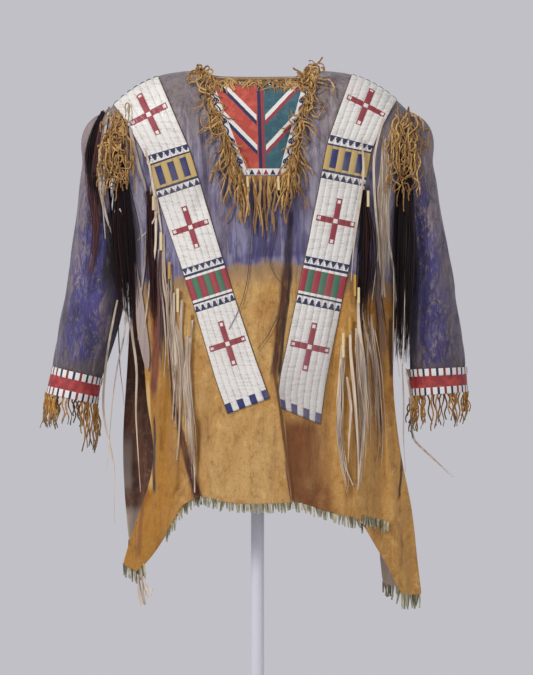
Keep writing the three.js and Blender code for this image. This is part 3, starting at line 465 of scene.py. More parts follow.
def slab(name, top, under, chart, closed=False):
    """A closed sheet between two grids. A closed one joins its last column to its first."""
    rows, columns = top.shape[:2]
    index = np.arange(rows * columns).reshape(rows, columns)
    across = np.concatenate([index, index[:, :1]], 1) if closed else index
    shift = rows * columns

    def cells(a, b, c, d):
        return np.stack([a, b, c, d], -1).reshape(-1, 4)

    upper = cells(across[:-1, :-1], across[1:, :-1], across[1:, 1:], across[:-1, 1:])
    faces = [upper, upper[:, ::-1] + shift]
    rims = [across[0], across[-1]] if closed else [across[0], across[-1], across[:, 0], across[:, -1]]
    faces += [cells(rim[:-1], rim[1:], rim[1:] + shift, rim[:-1] + shift) for rim in rims]
    return mesh_of(name, np.stack([top, under]), np.concatenate(faces).tolist(), np.stack([chart, chart]))


# %% Many strands in one mesh
def unit(vectors):
    return vectors / np.maximum(np.linalg.norm(vectors, axis=-1, keepdims=True), 1e-9)


def narrowing(share_lost):
    """A taper that loses a share of the width evenly on its way to the tip."""
    return lambda along: 1 - share_lost * along


def strands(name, routes, width, thick, taper=None, twist=None, facing=(0, -1, 0), sides=4, own=None):
    """Bars along routes. Width is one number or one for each strand, and twist is in radians at
    each point of each route."""
    routes = np.asarray(routes)
    count, steps = routes.shape[:2]
    along = unit(np.gradient(routes, axis=1))
    side = unit(np.cross(along, np.broadcast_to(facing, routes.shape)))
    out = np.cross(side, along)
    if twist is not None:
        turn = twist[..., None]
        side, out = side * np.cos(turn) + out * np.sin(turn), out * np.cos(turn) - side * np.sin(turn)
    share = np.linspace(0, 1, steps)
    size = np.ones(steps) if taper is None else taper(share)
    half = np.broadcast_to(np.asarray(width, float).reshape(-1, 1), (count, steps)) * size / 2
    deep = half * (thick / np.mean(width))
    corners = {
        4: [(-1, -1), (1, -1), (1, 1), (-1, 1)],
        3: [(-1, -0.8), (1, -0.8), (0, 1.2)],
    }[sides]
    points = np.stack([
        routes + side * (half * a)[..., None] + out * (deep * b)[..., None] for a, b in corners
    ], 2)
    index = np.arange(count * steps * sides).reshape(count, steps, sides)
    ring = np.roll(index, -1, axis=2)
    walls = np.stack([index[:, :-1], ring[:, :-1], ring[:, 1:], index[:, 1:]], -1).reshape(-1, 4)
    faces = walls.tolist() + index[:, 0].tolist() + index[:, -1, ::-1].tolist()
    own = np.random.default_rng(count).random(count) if own is None else np.asarray(own)
    values = {
        "share": np.broadcast_to(share[None, :, None], (count, steps, sides)),
        "own": np.broadcast_to(own[:, None, None], (count, steps, sides)),
    }
    return mesh_of(name, points, faces, values=values, smooth=False)


# %% [markdown]
# ## The beaded strips
#
# A strip is lazy-stitch beadwork: beads are sewn in seven lanes side by side, and each lane arches
# a little over its thread. The strip lies on the hide from its square end in front, over the
# shoulder, and down behind. Rays from inside the shoulder find the hide at each step. A shrinkwrap
# would do that as well, but it bunches the rows up where the shoulder turns. The strip's chart
# counts lanes across and millimetres along, so that the pattern can be worked bead by bead.

# %% Lines, lanes and lengths of the strips
LANES = 7
STRIP_WIDTH = 86 * MM
STRIP_BACKING = 1.6 * MM
LANE_RISE = 1.5 * MM
LANE_CELLS = 6
TURN_Z = 1.12
RIDGE_RUN = 0.13
STRIP_STEP = 3.2 * MM
STRIP_LINES = {
    "right": [
        (646, -16), (700, -36), (832, -78), (921, -106), (1062, -151), (1123, -170), (1242, -228),
        (1290, -252),
    ],
    "left": [
        (627, 76), (693, 84.5), (959, 139.6), (1067, 160.5), (1134, 173), (1256, 222), (1290, 236),
    ],
}
# How much of its width shows where the right strip lies in a fold.
STRIP_SHOWN = {
    "right": [(646, 1), (720, 0.98), (832, 0.92), (921, 0.93), (1020, 0.98), (1120, 1)],
    "left": [(627, 1), (1120, 1)],
}
# Where the pleat's edge runs, and how far beside it the left strip stays.
PLEAT_LINE = [(431, 69), (518, 57), (621, 42), (708, 30), (845, 16), (1007, 5), (1106, 0)]
PLEAT_COVER = 1 * MM
# How much more than square each front end leans, and how far up the strip that fades out.
END_LEAN = {"right": 0.0, "left": 0.24}
LEAN_FADES = 120 * MM
# The strip's own length in millimetres from its front end, and the pattern's place there. In the
# pattern the bands come every 225 and the crosses half way between them.
PATTERN_PLACES = [-10, 8, 112.5, 225, 337.5, 450, 562.5, 646, 1306, 1324]
PATTERN_MARKS = {
    "right": [0, 18, 123, 241, 354, 464, 582],
    "left": [0, 18, 131, 253, 373, 487, 602],
}


# %% Where a strip runs
def read_line(line, z):
    heights, places = np.array(line).T
    return float(np.interp(z / MM, heights, places))


def strip_middle(side, z):
    return read_line(STRIP_LINES[side], z) * MM


def strip_edge(side, z):
    """The outer edge of a strip in front."""
    return strip_middle(side, z) + SIDES[side] * (STRIP_WIDTH / 2 * 1.06 + 2 * MM)


def unrolled(height):
    """A length up the front, over the shoulder and down the back, as a level and a turn."""
    over = math.pi * RIDGE_RUN
    if height < TURN_Z:
        return height, math.pi / 2
    if height < TURN_Z + over:
        return TURN_Z, math.pi / 2 - (height - TURN_Z) / RIDGE_RUN
    return 2 * TURN_Z + over - height, -math.pi / 2


def on_hide(x, height):
    """The hide's point and facing, seen from inside the shoulder."""
    level, turn = unrolled(height)
    way = Vector((0, -math.sin(turn), math.cos(turn)))
    inside = Vector((x, 0, level))
    place, normal, _, _ = hides.ray_cast(inside + way * FAR, -way)
    if place is None:
        return np.array(inside + way * 0.1), np.array(way)
    return np.array(place), np.array(normal if normal.dot(way) > 0 else -normal)


# %% The grid of a strip, row by row
def strip_grid(side):
    """Rows of points that stand square to the strip's middle line."""
    low = STRIP_LINES[side][0][0] * MM
    heights = np.arange(low, 2 * TURN_Z + math.pi * RIDGE_RUN - low, STRIP_STEP)
    middle = []
    for height in heights:
        level, turn = unrolled(height)
        x = strip_middle(side, level)
        for _ in range(4 if abs(turn) < 1.57 else 0):
            x = strip_middle(side, on_hide(x, height)[0][2])
        middle.append(x)
    middle = smoothed(np.array(middle), 12)
    lean = smoothed(np.gradient(middle, heights), 240)
    asides = np.linspace(-STRIP_WIDTH / 2, STRIP_WIDTH / 2, LANES * LANE_CELLS + 1)
    grid = []
    facing = []
    for height, centre, slope in zip(heights, middle, lean):
        shown = read_line(STRIP_SHOWN[side], height) if height < TURN_Z else 1
        across = asides * shown / math.hypot(1, slope)
        near_end = max(0, 1 - (height - low) / LEAN_FADES) * END_LEAN[side]
        rows = height - across * (slope + near_end)
        xs = centre + across
        if side == "left" and height < TURN_Z:
            inner = max(xs[0], read_line(PLEAT_LINE, height) * MM + PLEAT_COVER)
            xs = inner + (xs - xs[0]) * (xs[-1] - inner) / (xs[-1] - xs[0])
        found = [on_hide(x, row) for x, row in zip(xs, rows)]
        grid.append([place for place, _ in found])
        facing.append([normal for _, normal in found])
    return np.array(grid), unit(smoothed(np.array(facing), 6))


def smoothed(grid, times):
    """Each row averaged with its neighbours, again and again."""
    for _ in range(times):
        grid[1:-1] = (grid[:-2] + 2 * grid[1:-1] + grid[2:]) / 4
    return grid


# %% A strip with its lanes
def beaded_strip(side):
    grid, facing = strip_grid(side)
    grid = smoothed(grid, 2)
    middle = grid[:, grid.shape[1] // 2]
    along = np.concatenate([[0], np.cumsum(np.linalg.norm(np.diff(middle, axis=0), axis=1))]) / MM
    marks = PATTERN_MARKS[side] + [along[-1] / 2, along[-1] - 18, along[-1]]
    pattern = np.interp(along, marks, PATTERN_PLACES)
    lanes = np.linspace(0, LANES, grid.shape[1])
    if side == "left":
        lanes = lanes[::-1]
    chart = np.stack(np.meshgrid(pattern, lanes, indexing="ij")[::-1], -1)
    arch = np.sqrt(np.clip(1 - (2 * (lanes % 1) - 1) ** 2, 0, 1))
    arch[[0, -1]] = 0
    rise = STRIP_BACKING + LANE_RISE * arch
    top = grid + facing * rise[None, :, None]
    piece = slab(f"beaded_strip_{side}", top, grid + facing * 0.35 * MM, chart)
    print(piece.name, "is", round(along[-1]), "mm long")
    return piece


strips = {side: beaded_strip(side) for side in SIDES}

# %% [markdown]
# ## The beads' pattern
#
# The pattern repeats along the strip: a band, a white field with a cross, another band. All of it
# is worked from the chart. A point's lane and row are rounded to one bead first, so that every
# slanted edge comes out stepped, as it does in real beads. Real geometry for each bead would take
# tens of thousands of small rings, which are smaller than a dot of the picture.

# %% Bead colours, and the pattern's lengths in millimetres
WHITE_BEAD = shade(216, 212, 205)
DIRTY_BEAD = shade(190, 183, 174)
NAVY_BEAD = shade(20, 26, 70)
BLUE_BEAD = shade(18, 27, 92)
GOLD_BEAD = shade(184, 156, 92)
CRIMSON_BEAD = shade(138, 42, 54)
RED_BEAD = shade(148, 38, 54)
GREEN_BEAD = shade(58, 106, 78)
BEAD = 1.55
BEADS_ACROSS = 8
LANE = STRIP_WIDTH / MM / LANES
# A band's middle comes at every REPEAT, a cross half way between two of them.
REPEAT = 225
HALF_REPEAT = REPEAT / 2
FIELD_LOW, FIELD_HIGH = 60, 1290
END_LOW, END_HIGH = 8, 1306
LINE_TALL = 4.2
TOOTH_TALL = 11
CROSS_BAR = 5.4
CROSS_UP, CROSS_ASIDE = 42, 36.5
CROSS_EYE = 4
CROSS_TIP = 2.9
CROSS_TIPS = ((0, 36.5), (31.5, 0))
SOIL = shade(160, 148, 132)
print("bands along a strip:", (FIELD_HIGH - FIELD_LOW) // REPEAT)


# %% The beads and their pattern
def bead_rows(paint, across, along):
    """Small rises for single beads, and a number of its own for each bead."""
    bump = abs((along * (math.pi / BEAD)).wave()) * abs((across * (math.pi * BEADS_ACROSS)).wave())
    cell = paint.node("ShaderNodeCombineXYZ", sockets={
        0: (across * BEADS_ACROSS).floor(), 1: (along / BEAD).floor(),
    })
    own = paint.node("ShaderNodeTexWhiteNoise", {"noise_dimensions": "2D"}, {
        "Vector": Field(paint, cell.outputs[0]),
    })
    return bump, Field(paint, own.outputs["Value"])


def beadwork():
    paint = Paint("beadwork", roughness=0.45, coat=0.04)
    across, along, _ = paint.chart()
    bump, own = bead_rows(paint, across, along)
    odd = across.floor().turns(2)
    bead_middle = (across.turns(1) * BEADS_ACROSS).floor() / BEADS_ACROSS + 0.5 / BEADS_ACROSS
    within = abs(bead_middle - 0.5)
    row = (along / BEAD).floor() * BEAD + BEAD / 2
    field = (row > FIELD_LOW) * (row < FIELD_HIGH)
    rows = paint.noise(190, 3, 0.6, (0.18, 0.18, 1.5))
    colour = paint.mix(paint.ease(own * 0.3 + rows, 0.66, 0.9), WHITE_BEAD, DIRTY_BEAD)

    def band(colour, here, line, field_end, tooth, bars, ground):
        """Bars, a dark line on each side of them, and a row of teeth that point at the line."""
        reach = abs((row - HALF_REPEAT).turns(REPEAT) - HALF_REPEAT)
        wide = (reach - tooth) / TOOTH_TALL * 0.40 + 0.10
        teeth = (reach > tooth) * (reach < tooth + TOOTH_TALL) * (within < wide)
        edge = (reach > line) * (reach < line + LINE_TALL)
        colour = paint.mix(here * paint.sums("MAXIMUM", teeth, edge), colour, NAVY_BEAD)
        colour = paint.mix(here * (reach < line), colour, ground)
        return paint.mix(here * (reach < field_end), colour, bars)

    red_band = ((row + HALF_REPEAT) / REPEAT).floor().turns(2)
    red_bars = paint.mix(odd, RED_BEAD, GREEN_BEAD)
    gold_bars = paint.mix(odd, GOLD_BEAD, BLUE_BEAD)
    colour = band(colour, field * red_band, 24.5, 20.5, 31, red_bars, WHITE_BEAD)
    colour = band(colour, field * (1 - red_band), 22, 17.5, 28.5, gold_bars, GOLD_BEAD)
    aside = abs(across - LANES / 2) * LANE
    up = abs(row.turns(REPEAT) - HALF_REPEAT)
    tall = (aside < CROSS_BAR) * (up < CROSS_UP)
    wide = (up < CROSS_BAR) * (aside < CROSS_ASIDE)
    colour = paint.mix(paint.sums("MAXIMUM", tall, wide), colour, CRIMSON_BEAD)
    eye = (aside < CROSS_EYE) * (up < CROSS_EYE)
    for far_aside, far_up in CROSS_TIPS:
        tip = (abs(aside - far_aside) < CROSS_TIP) * (abs(up - far_up) < CROSS_TIP)
        eye = paint.sums("MAXIMUM", eye, tip)
    colour = paint.mix(eye, colour, WHITE_BEAD)
    end = paint.sums("MAXIMUM", row < END_LOW, row > END_HIGH)
    colour = paint.mix(end * (1 - odd), colour, BLUE_BEAD)
    groove = paint.ease(abs(across.turns(1) - 0.5), 0.42, 0.5)
    # The grey line along each groove between lanes is painted shade.
    colour = paint.mix(groove * paint.ease(rows, 0.36, 0.6) * 0.5, colour, shade(96, 90, 86))
    colour = paint.mix((aside > 41.6), colour, shade(96, 74, 50))
    soil = paint.ease(paint.noise(9, 4), 0.48, 0.72) * 0.25
    x, _, z = paint.parts(paint.place())
    # The lower part of the left strip is painted greyer, as painted shade.
    painted_shade_lower_left = paint.ease(x, 0.0, 0.03) * (1 - paint.ease(z, 0.66, 0.86)) * 0.6
    painted_shade_lower_left = painted_shade_lower_left * (1 - paint.ease(abs(across - LANES / 2), LANES / 2 - 0.02, LANES / 2))
    colour = paint.mix(painted_shade_lower_left, colour, paint.mix(0.5, colour, shade(132, 118, 120)))
    bump = bump * 0.5 + rows * 0.8 - groove * 1.2
    return paint.done(paint.mix(soil * 0.6, colour, SOIL), bump, 0.7 * MM, 0.6)


BEADWORK = beadwork()
dress(BEADWORK, *strips.values())
print("beads across a strip:", LANES * BEADS_ACROSS)

# %% [markdown]
# ## Dyed and smoked hide
#
# The upper half was rubbed with a blue-violet earth paint that has worn to grey, and the lower half
# with yellow ochre. Paint on hide gathers in the grain and along folds, so each zone is a mix of
# two or three tones by noise at several sizes, and the line between the zones wanders. Stains,
# painted shade in deep folds and slits, and painted highlights on folded edges are laid on after
# that, each at its own place. The noise that raises the small wrinkles also paints shade into their
# low parts and highlights onto their crests.

# %% The hide's colours
LILAC = shade(152, 142, 144)
BLUE_RUB = shade(78, 73, 114)
MAUVE = shade(104, 86, 86)
TAN = shade(188, 148, 88)
OCHRE = shade(160, 104, 26)
BROWN = shade(112, 68, 28)
UMBER = shade(84, 50, 38)
SMOKE = shade(140, 118, 98)
# Stains, painted shade in deep folds and slits, and painted highlights on folded edges, in metres:
# colour, upper end, lower end and half width at each of them.
STREAKS = [
    (shade(60, 54, 96), 0.028, 1.05, 0.045, 0.925, 0.060, 0.070, 0.65),
    (shade(44, 38, 84), 0.010, 0.985, 0.016, 0.925, 0.030, 0.034, 0.5),
    (shade(48, 36, 54), -0.203, 1.060, -0.198, 0.850, 0.013, 0.014, 0.9),
    (shade(104, 40, 24), -0.183, 0.880, -0.196, 0.665, 0.024, 0.006, 0.9),
    (shade(74, 30, 18), -0.172, 0.910, -0.156, 0.620, 0.006, 0.007, 0.9),
    (shade(68, 30, 22), -0.156, 0.640, -0.108, 0.462, 0.006, 0.012, 0.95),
    (shade(206, 172, 112), -0.207, 0.690, -0.203, 0.490, 0.005, 0.006, 0.8),
    (shade(40, 24, 18), -0.196, 0.625, -0.195, 0.482, 0.0025, 0.004, 0.95),
    (shade(130, 74, 26), -0.215, 0.480, -0.226, 0.360, 0.004, 0.006, 0.7),
    (shade(36, 24, 40), 0.064, 1.010, 0.056, 0.880, 0.008, 0.011, 0.9),
    (shade(70, 34, 14), 0.056, 0.900, 0.030, 0.700, 0.014, 0.009, 0.92),
    (shade(36, 18, 12), 0.063, 0.905, 0.041, 0.700, 0.004, 0.005, 0.9),
    (shade(104, 58, 22), 0.032, 0.720, 0.068, 0.460, 0.004, 0.005, 0.8),
    (shade(52, 38, 50), 0.200, 1.060, 0.205, 0.860, 0.017, 0.013, 0.85),
    (shade(166, 156, 160), 0.243, 1.150, 0.240, 0.880, 0.018, 0.022, 0.7),
    (shade(84, 46, 16), 0.224, 0.850, 0.234, 0.600, 0.005, 0.005, 0.8),
    (shade(76, 42, 18), 0.252, 0.810, 0.254, 0.700, 0.005, 0.007, 0.9),
    (shade(60, 34, 16), 0.277, 0.600, 0.268, 0.470, 0.004, 0.003, 0.9),
    (shade(128, 84, 30), 0.190, 0.700, 0.170, 0.470, 0.006, 0.010, 0.5),
    (shade(166, 156, 160), -0.226, 1.150, -0.225, 0.870, 0.012, 0.012, 0.5),
    (shade(150, 138, 140), 0.108, 1.200, 0.102, 1.020, 0.010, 0.014, 0.5),
    (shade(64, 54, 74), -0.108, 1.190, -0.086, 0.940, 0.005, 0.007, 0.6),
]
print("stains and shaded folds:", len(STREAKS))


# %% Grain, stains and fine lines
def hide_grain(paint):
    """Nap, pores and small creases, from coarse to fine."""
    fibres = paint.noise(30, 4, 0.6, (2.4, 2.4, 0.5)) * 0.6
    return fibres + paint.noise(110, 4) * 0.4 + paint.noise(420, 3) * 0.3 + paint.noise(1500, 2) * 0.15


def streak(paint, x, z, row):
    """How much of a stain, a painted shade or a painted highlight there is at a place."""
    _, top_x, top_z, low_x, low_z, top_half, low_half, share = row
    down = (top_z - z) / (top_z - low_z)
    half = down * (low_half - top_half) + top_half
    aside = abs(x - top_x - down * (low_x - top_x)) / half
    ends = paint.ease(down, -0.08, 0.08) * (1 - paint.ease(down, 0.94, 1.05))
    return (1 - paint.ease(aside, 0.35, 1.05)) * ends * share


def veins(paint, scale, seed_warp, stretch=(1.8, 1.8, 0.5)):
    """Thin wandering lines, where a noise crosses its own middle."""
    field = paint.noise(scale, 5, 0.62, stretch, seed_warp)
    return 1 - paint.ease(abs(field - 0.5), 0.004, 0.028)


# %% The blue and the ochre half of a hide
def blue_half(paint, z, sway, streaks, patches, fibres):
    """Worn blue-violet, greyer towards the shoulders."""
    cool = (1 - paint.ease(z + sway, 1.06, 1.18)) * 0.75
    upper = paint.mix(cool, LILAC, shade(122, 120, 150))
    upper = paint.mix(paint.ease(streaks, 0.46, 0.62) * 0.8, upper, BLUE_RUB)
    upper = paint.mix(paint.ease(patches, 0.5, 0.66) * 0.6, upper, MAUVE)
    upper = paint.mix(paint.ease(z + sway, 1.13, 1.22) * 0.7, upper, shade(106, 92, 88))
    upper = paint.mix(paint.ease(fibres, 0.56, 0.68) * 0.4, upper, shade(166, 160, 172))
    upper = paint.mix(paint.ease(fibres, 0.44, 0.34) * 0.5, upper, shade(66, 58, 88))
    return paint.mix(veins(paint, 13, 0.7, (2.6, 2.6, 0.3)) * 0.3, upper, shade(64, 54, 84))


def ochre_half(paint, x, z, sway, patches):
    """Yellow ochre, richer on the wearer's left and on both pendants."""
    mottle = paint.noise(54, 6, 0.72, (1.2, 1.2, 0.9), 0.5)
    nap = paint.noise(230, 3, 0.6)
    lower = paint.mix(paint.ease(patches, 0.42, 0.64) * 0.55, TAN, OCHRE)
    left_half = paint.ease(x + sway, 0.09, 0.16)
    rich = paint.mix(paint.ease(patches, 0.4, 0.6), shade(180, 128, 54), OCHRE)
    lower = paint.mix(left_half * 0.85, lower, rich)
    foot = 1 - paint.ease(z + sway, 0.52, 0.66)
    lower = paint.mix(left_half * foot * 0.6, lower, shade(186, 140, 76))
    right_pendant = paint.ease(0 - x, 0.13, 0.17) * (1 - paint.ease(z, 0.66, 0.76))
    lower = paint.mix(right_pendant * 0.9, lower, shade(160, 108, 26))
    lower = paint.mix(paint.ease(mottle, 0.52, 0.68) * 0.5, lower, BROWN)
    pale = paint.ease(mottle, 0.47, 0.32) * (1 - right_pendant * 0.7) * 0.45
    lower = paint.mix(pale, lower, shade(214, 178, 118))
    return paint.mix(paint.ease(nap, 0.52, 0.64) * 0.22, lower, shade(126, 86, 42))


# %% The outer face of both hides
# Height of the line between the halves at the middle, and how fast it falls to each side of it.
LINE_MIDDLE = (0.02, 0.916)
LINE_FALL = 0.17


def hide_outside():
    paint = Paint("dyed_hide", roughness=0.88, sheen=0.12)
    x, _, z = paint.parts(paint.place())
    sway = (paint.noise(12, 3, 0.6, (1, 1, 0.6)) - 0.5) * 0.022
    streaks = paint.noise(22, 6, 0.7, (2.6, 2.6, 0.35), 0.9)
    patches = paint.noise(9, 5, 0.65, (1, 1, 0.6), 0.8)
    fibres = paint.noise(44, 6, 0.75, (2.6, 2.6, 0.4), 0.6)
    upper = blue_half(paint, z, sway, streaks, patches, fibres)
    lower = ochre_half(paint, x, z, sway, patches)
    line = LINE_MIDDLE[1] - abs(x - LINE_MIDDLE[0]) * LINE_FALL + sway * 1.2
    dyed = paint.ease(z - line + (fibres - 0.5) * 0.03, -0.006, 0.010)
    faded = paint.ease(z - line + (fibres - 0.5) * 0.03, -0.050, -0.006) * 0.8
    colour = paint.mix(faded, lower, shade(136, 110, 84))
    colour = paint.mix(dyed, colour, upper)
    edge = paint.ease(z - line, -0.002, 0.008) * (1 - paint.ease(z - line, 0.016, 0.05))
    colour = paint.mix(edge * paint.ease(streaks, 0.4, 0.55) * 0.7, colour, shade(70, 66, 116))
    rough = (fibres - 0.5) * 1.4 + 1
    for row in STREAKS:
        colour = paint.mix(streak(paint, x + sway * 0.5, z, row) * rough, colour, row[0])
    # The noise that raises the small wrinkles paints shade into their low parts and highlights onto their
    # crests: painted shade and painted highlight.
    fall = paint.noise(17, 6, 0.72, (2.3, 2.3, 0.35), 0.9)
    deep = paint.mix(dyed, shade(100, 54, 12), shade(52, 42, 62))
    colour = paint.mix(paint.ease(fall, 0.47, 0.30) * (dyed * 0.3 + 0.42), colour, deep)
    pale = paint.mix(dyed, shade(206, 166, 98), shade(182, 172, 176))
    colour = paint.mix(paint.ease(fall, 0.54, 0.68) * (dyed * 0.35 + 0.1), colour, pale)
    # A dark brown patch past the pleat's edge, partly stain and partly painted shade under the pleat.
    past_pleat = x - 0.050 - (0.617 - z) * 0.09
    shaded = paint.ease(past_pleat, 0.0, 0.003) * (1 - paint.ease(x + z * 0.14 + sway, 0.190, 0.226))
    shaded = shaded * (1 - paint.ease(z + sway, 0.60, 0.64))
    stained_and_shaded = shaded * (paint.ease(patches, 0.35, 0.6) * 0.4 + 0.55)
    colour = paint.mix(stained_and_shaded, colour, shade(104, 52, 10))
    return paint.done(colour, hide_grain(paint) + fall * 2.4, 2.4 * MM, 0.95)


# %% The flesh side, and the sleeves
def hide_inside():
    paint = Paint("hide_flesh_side", roughness=0.92, sheen=0.2)
    x, _, z = paint.parts(paint.place())
    fibres = paint.noise(22, 5, 0.65, (2.4, 2.4, 0.5), 0.6)
    colour = paint.mix(paint.ease(fibres, 0.4, 0.66), UMBER, shade(126, 84, 60))
    mottle = paint.noise(60, 4, 0.7)
    colour = paint.mix(paint.ease(mottle, 0.5, 0.66) * 0.35, colour, SMOKE)
    patch = paint.ease(0 - x, 0.236, 0.246) * paint.ease(z, 0.47, 0.50)
    patch = patch * (1 - paint.ease(z, 0.56, 0.60))
    colour = paint.mix(patch * 0.8, colour, shade(150, 136, 124))
    foot = 1 - paint.ease(z + (mottle - 0.5) * 0.03, 0.43, 0.46)
    colour = paint.mix(foot * 0.9, colour, shade(176, 158, 140))
    return paint.done(colour, hide_grain(paint), 1.4 * MM, 0.7)


def sleeve_hide():
    paint = Paint("sleeve_hide", roughness=0.86, sheen=0.15)
    x, _, z = paint.parts(paint.place())
    outward = abs(x) - 0.2843 - (1.106 - z) * 0.154
    sway = (paint.noise(14, 3, 0.6, (1, 1, 0.5)) - 0.5) * 0.05
    blotches = paint.noise(26, 5, 0.72, (1.3, 1.3, 0.5), 1.2)
    scratches = paint.noise(70, 5, 0.75, (2.2, 2.2, 0.4), 0.8)
    crackle = paint.noise(46, 6, 0.78, (1.7, 1.7, 0.55), 1.4)
    centre = 1 - paint.ease(abs(outward + sway), 0.014, 0.05)
    colour = paint.mix(paint.ease(paint.noise(14, 5), 0.4, 0.6), shade(134, 118, 118), shade(104, 92, 100))
    zone = centre * 0.7 + (1 - paint.ease(z + sway, 0.90, 1.10)) * 0.5
    blue = paint.ease(crackle + zone * 0.10 + (blotches - 0.5) * 0.5, 0.53, 0.59)
    colour = paint.mix(blue * 0.9, colour, shade(54, 50, 116))
    colour = paint.mix(paint.ease(scratches, 0.56, 0.66) * 0.5, colour, shade(142, 132, 142))
    colour = paint.mix(paint.ease(scratches, 0.47, 0.37) * 0.7, colour, shade(44, 38, 72))
    colour = paint.mix(veins(paint, 17, 1.0, (1.5, 1.5, 0.7)) * 0.5, colour, shade(44, 36, 62))
    # The outer side of the sleeve is painted lighter, as painted highlight.
    outer = paint.ease(outward + sway * 0.6, 0.016, 0.040)
    colour = paint.mix(outer * 0.55, colour, shade(118, 105, 110))
    # The inner side, next to the body, is painted darker, as painted shade.
    inner = paint.ease(0 - outward + sway * 0.5, 0.022, 0.042)
    colour = paint.mix(inner * 0.75, colour, shade(58, 46, 66))
    # Near-black painted shade on the inner side below the armpit, where the armhole opens.
    painted_armhole_shade = paint.ease(0 - outward, 0.016, 0.028) * paint.ease(z, 0.85, 0.90)
    painted_armhole_shade = painted_armhole_shade * (1 - paint.ease(z + sway * 0.4, 1.03, 1.07))
    colour = paint.mix(painted_armhole_shade * 0.95, colour, shade(26, 19, 24))
    worn = (1 - paint.ease(z + sway * 0.4, 0.715, 0.75)) * paint.ease(paint.noise(30, 3), 0.38, 0.56)
    colour = paint.mix(worn * 0.7, colour, shade(104, 88, 76))
    crown = paint.ease(z + sway, 1.02, 1.14) * 0.75
    colour = paint.mix(crown, colour, shade(134, 116, 114))
    # The noise that raises the small wrinkles paints shade into their low parts and highlights onto their
    # crests: painted shade and painted highlight.
    fall = paint.noise(20, 6, 0.72, (1.7, 1.7, 0.45), 1.0)
    colour = paint.mix(paint.ease(fall, 0.48, 0.34) * 0.75, colour, shade(42, 34, 56))
    colour = paint.mix(paint.ease(fall, 0.54, 0.66) * 0.42, colour, shade(162, 150, 156))
    colour = paint.mix((1 - paint.ease(z, 0.74, 0.92)) * 0.25, colour, shade(50, 42, 62))
    creases = veins(paint, 17, 1.0, (1.5, 1.5, 0.7)) * -0.8
    return paint.done(colour, hide_grain(paint) + creases + fall * 2.4, 2.6 * MM, 0.95)


HIDE = hide_outside()
FLESH = hide_inside()
dress(HIDE, front, back)
dress(FLESH, front, back)
dress(sleeve_hide(), *sleeves.values())
for piece, toward in ((front, -1), (back, 1)):
    facing = np.empty(len(piece.data.polygons) * 3)
    piece.data.polygons.foreach_get("normal", facing)
    inward = (facing.reshape(-1, 3)[:, 1] * toward < -0.15).astype(int)
    piece.data.polygons.foreach_set("material_index", inward)
    print(piece.name, "shows its flesh side on", int(inward.sum()), "faces")

# %% [markdown]
# ## The bib
#
# The neck flap is two pieces of wool cloth, red and blue-green, joined in the middle under a
# two-coloured beaded stripe. Slanting beaded bars leave the stripe, and a white beaded border
# runs round three sides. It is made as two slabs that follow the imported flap's depth. Their chart is
# in millimetres from the middle seam and from the lower edge, so that each bar is one straight sum,
# and the distance from the rim is kept as a number of its own, because the border follows the rim.

# %% The bib's shape and its beads
packed_bib = tree_of(nodes["bib_right"], nodes["bib_left"])
BIB_LOW, BIB_TOP = 1078 * MM, 1254 * MM
# Where each edge runs at the bottom and at the top.
BIB_EDGE = {
    "right": (-28.5 * MM, -97 * MM), "left": (52 * MM, 99 * MM), "middle": (9.5 * MM, 4.5 * MM),
}
BIB_THICK = 2 * MM


def bib_edge(side, z):
    low, high = BIB_EDGE[side]
    return low + (high - low) * (z - BIB_LOW) / (BIB_TOP - BIB_LOW)


def bib_depths(xs, zs):
    """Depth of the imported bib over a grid; a place beside it takes its neighbour's depth."""
    deep = np.full(xs.shape, np.nan)
    for at in np.ndindex(xs.shape):
        place = packed_bib.ray_cast(Vector((xs[at], -FAR, zs[at])), Vector((0, 1, 0)))[0]
        if place is not None:
            deep[at] = place.y
    met = [r for r in range(len(deep)) if np.isfinite(deep[r]).sum() > 6]
    for r in met:
        good = np.isfinite(deep[r])
        order = np.argsort(xs[r][good])
        deep[r] = np.interp(xs[r], xs[r][good][order], deep[r][good][order])
    for r in set(range(len(deep))) - set(met):
        deep[r] = deep[min(met, key=lambda other: abs(other - r))]
    return smoothed(deep, 10)


def bib_half(side):
    rows, columns = 70, 40
    zs = np.repeat(np.linspace(BIB_LOW, BIB_TOP, rows)[:, None], columns, 1)
    seam = bib_edge("middle", zs) + SIDES[side] * 0.15 * MM
    xs = seam + (bib_edge(side, zs) - seam) * np.linspace(0, 1, columns)
    grid = np.stack([xs, bib_depths(xs, zs) + BIB_THICK, zs], -1)
    across = np.gradient(grid, axis=1)
    along = np.gradient(grid, axis=0)
    facing = unit(np.cross(across, along))
    facing = np.where(facing[:, :, 1:2] > 0, -facing, facing)
    chart = np.stack([abs(xs - seam) / MM, (zs - BIB_LOW) / MM], -1)
    rim = abs(bib_edge(side, zs) - xs) / MM
    top = grid + facing * (BIB_THICK + 0.3 * MM)
    piece = slab(f"bib_cloth_{side}", top, grid + facing * 0.35 * MM, chart)
    attribute = piece.data.attributes.new("rim", "FLOAT", "POINT")
    attribute.data.foreach_set("value", np.tile(rim.ravel(), 2).astype(np.float32))
    steps = np.linalg.norm(np.cross(across, along), axis=2)
    print(f"bib {side}: {steps.sum():.4f} square metres")
    return piece


# %% The bib's cloth and beads
# Wool as it is, where it is worn and where it is dark, and the beads under each white bar.
BIB_COLOURS = {
    "right": (shade(172, 62, 48), shade(194, 88, 66), shade(142, 46, 38), NAVY_BEAD),
    "left": (shade(36, 80, 92), shade(64, 106, 112), shade(26, 62, 72), CRIMSON_BEAD),
}
# Millimetres on the chart: feet of the bars, their slope and height, and the border's widths.
BAR_FEET = (48, 104)
BAR_SLOPE = 1.04
BAR_WHITE, BAR_DARK = 10, 9
STRIPE = 6
BORDER, BORDER_LOW, BORDER_TOP = 12.5, 13, 170


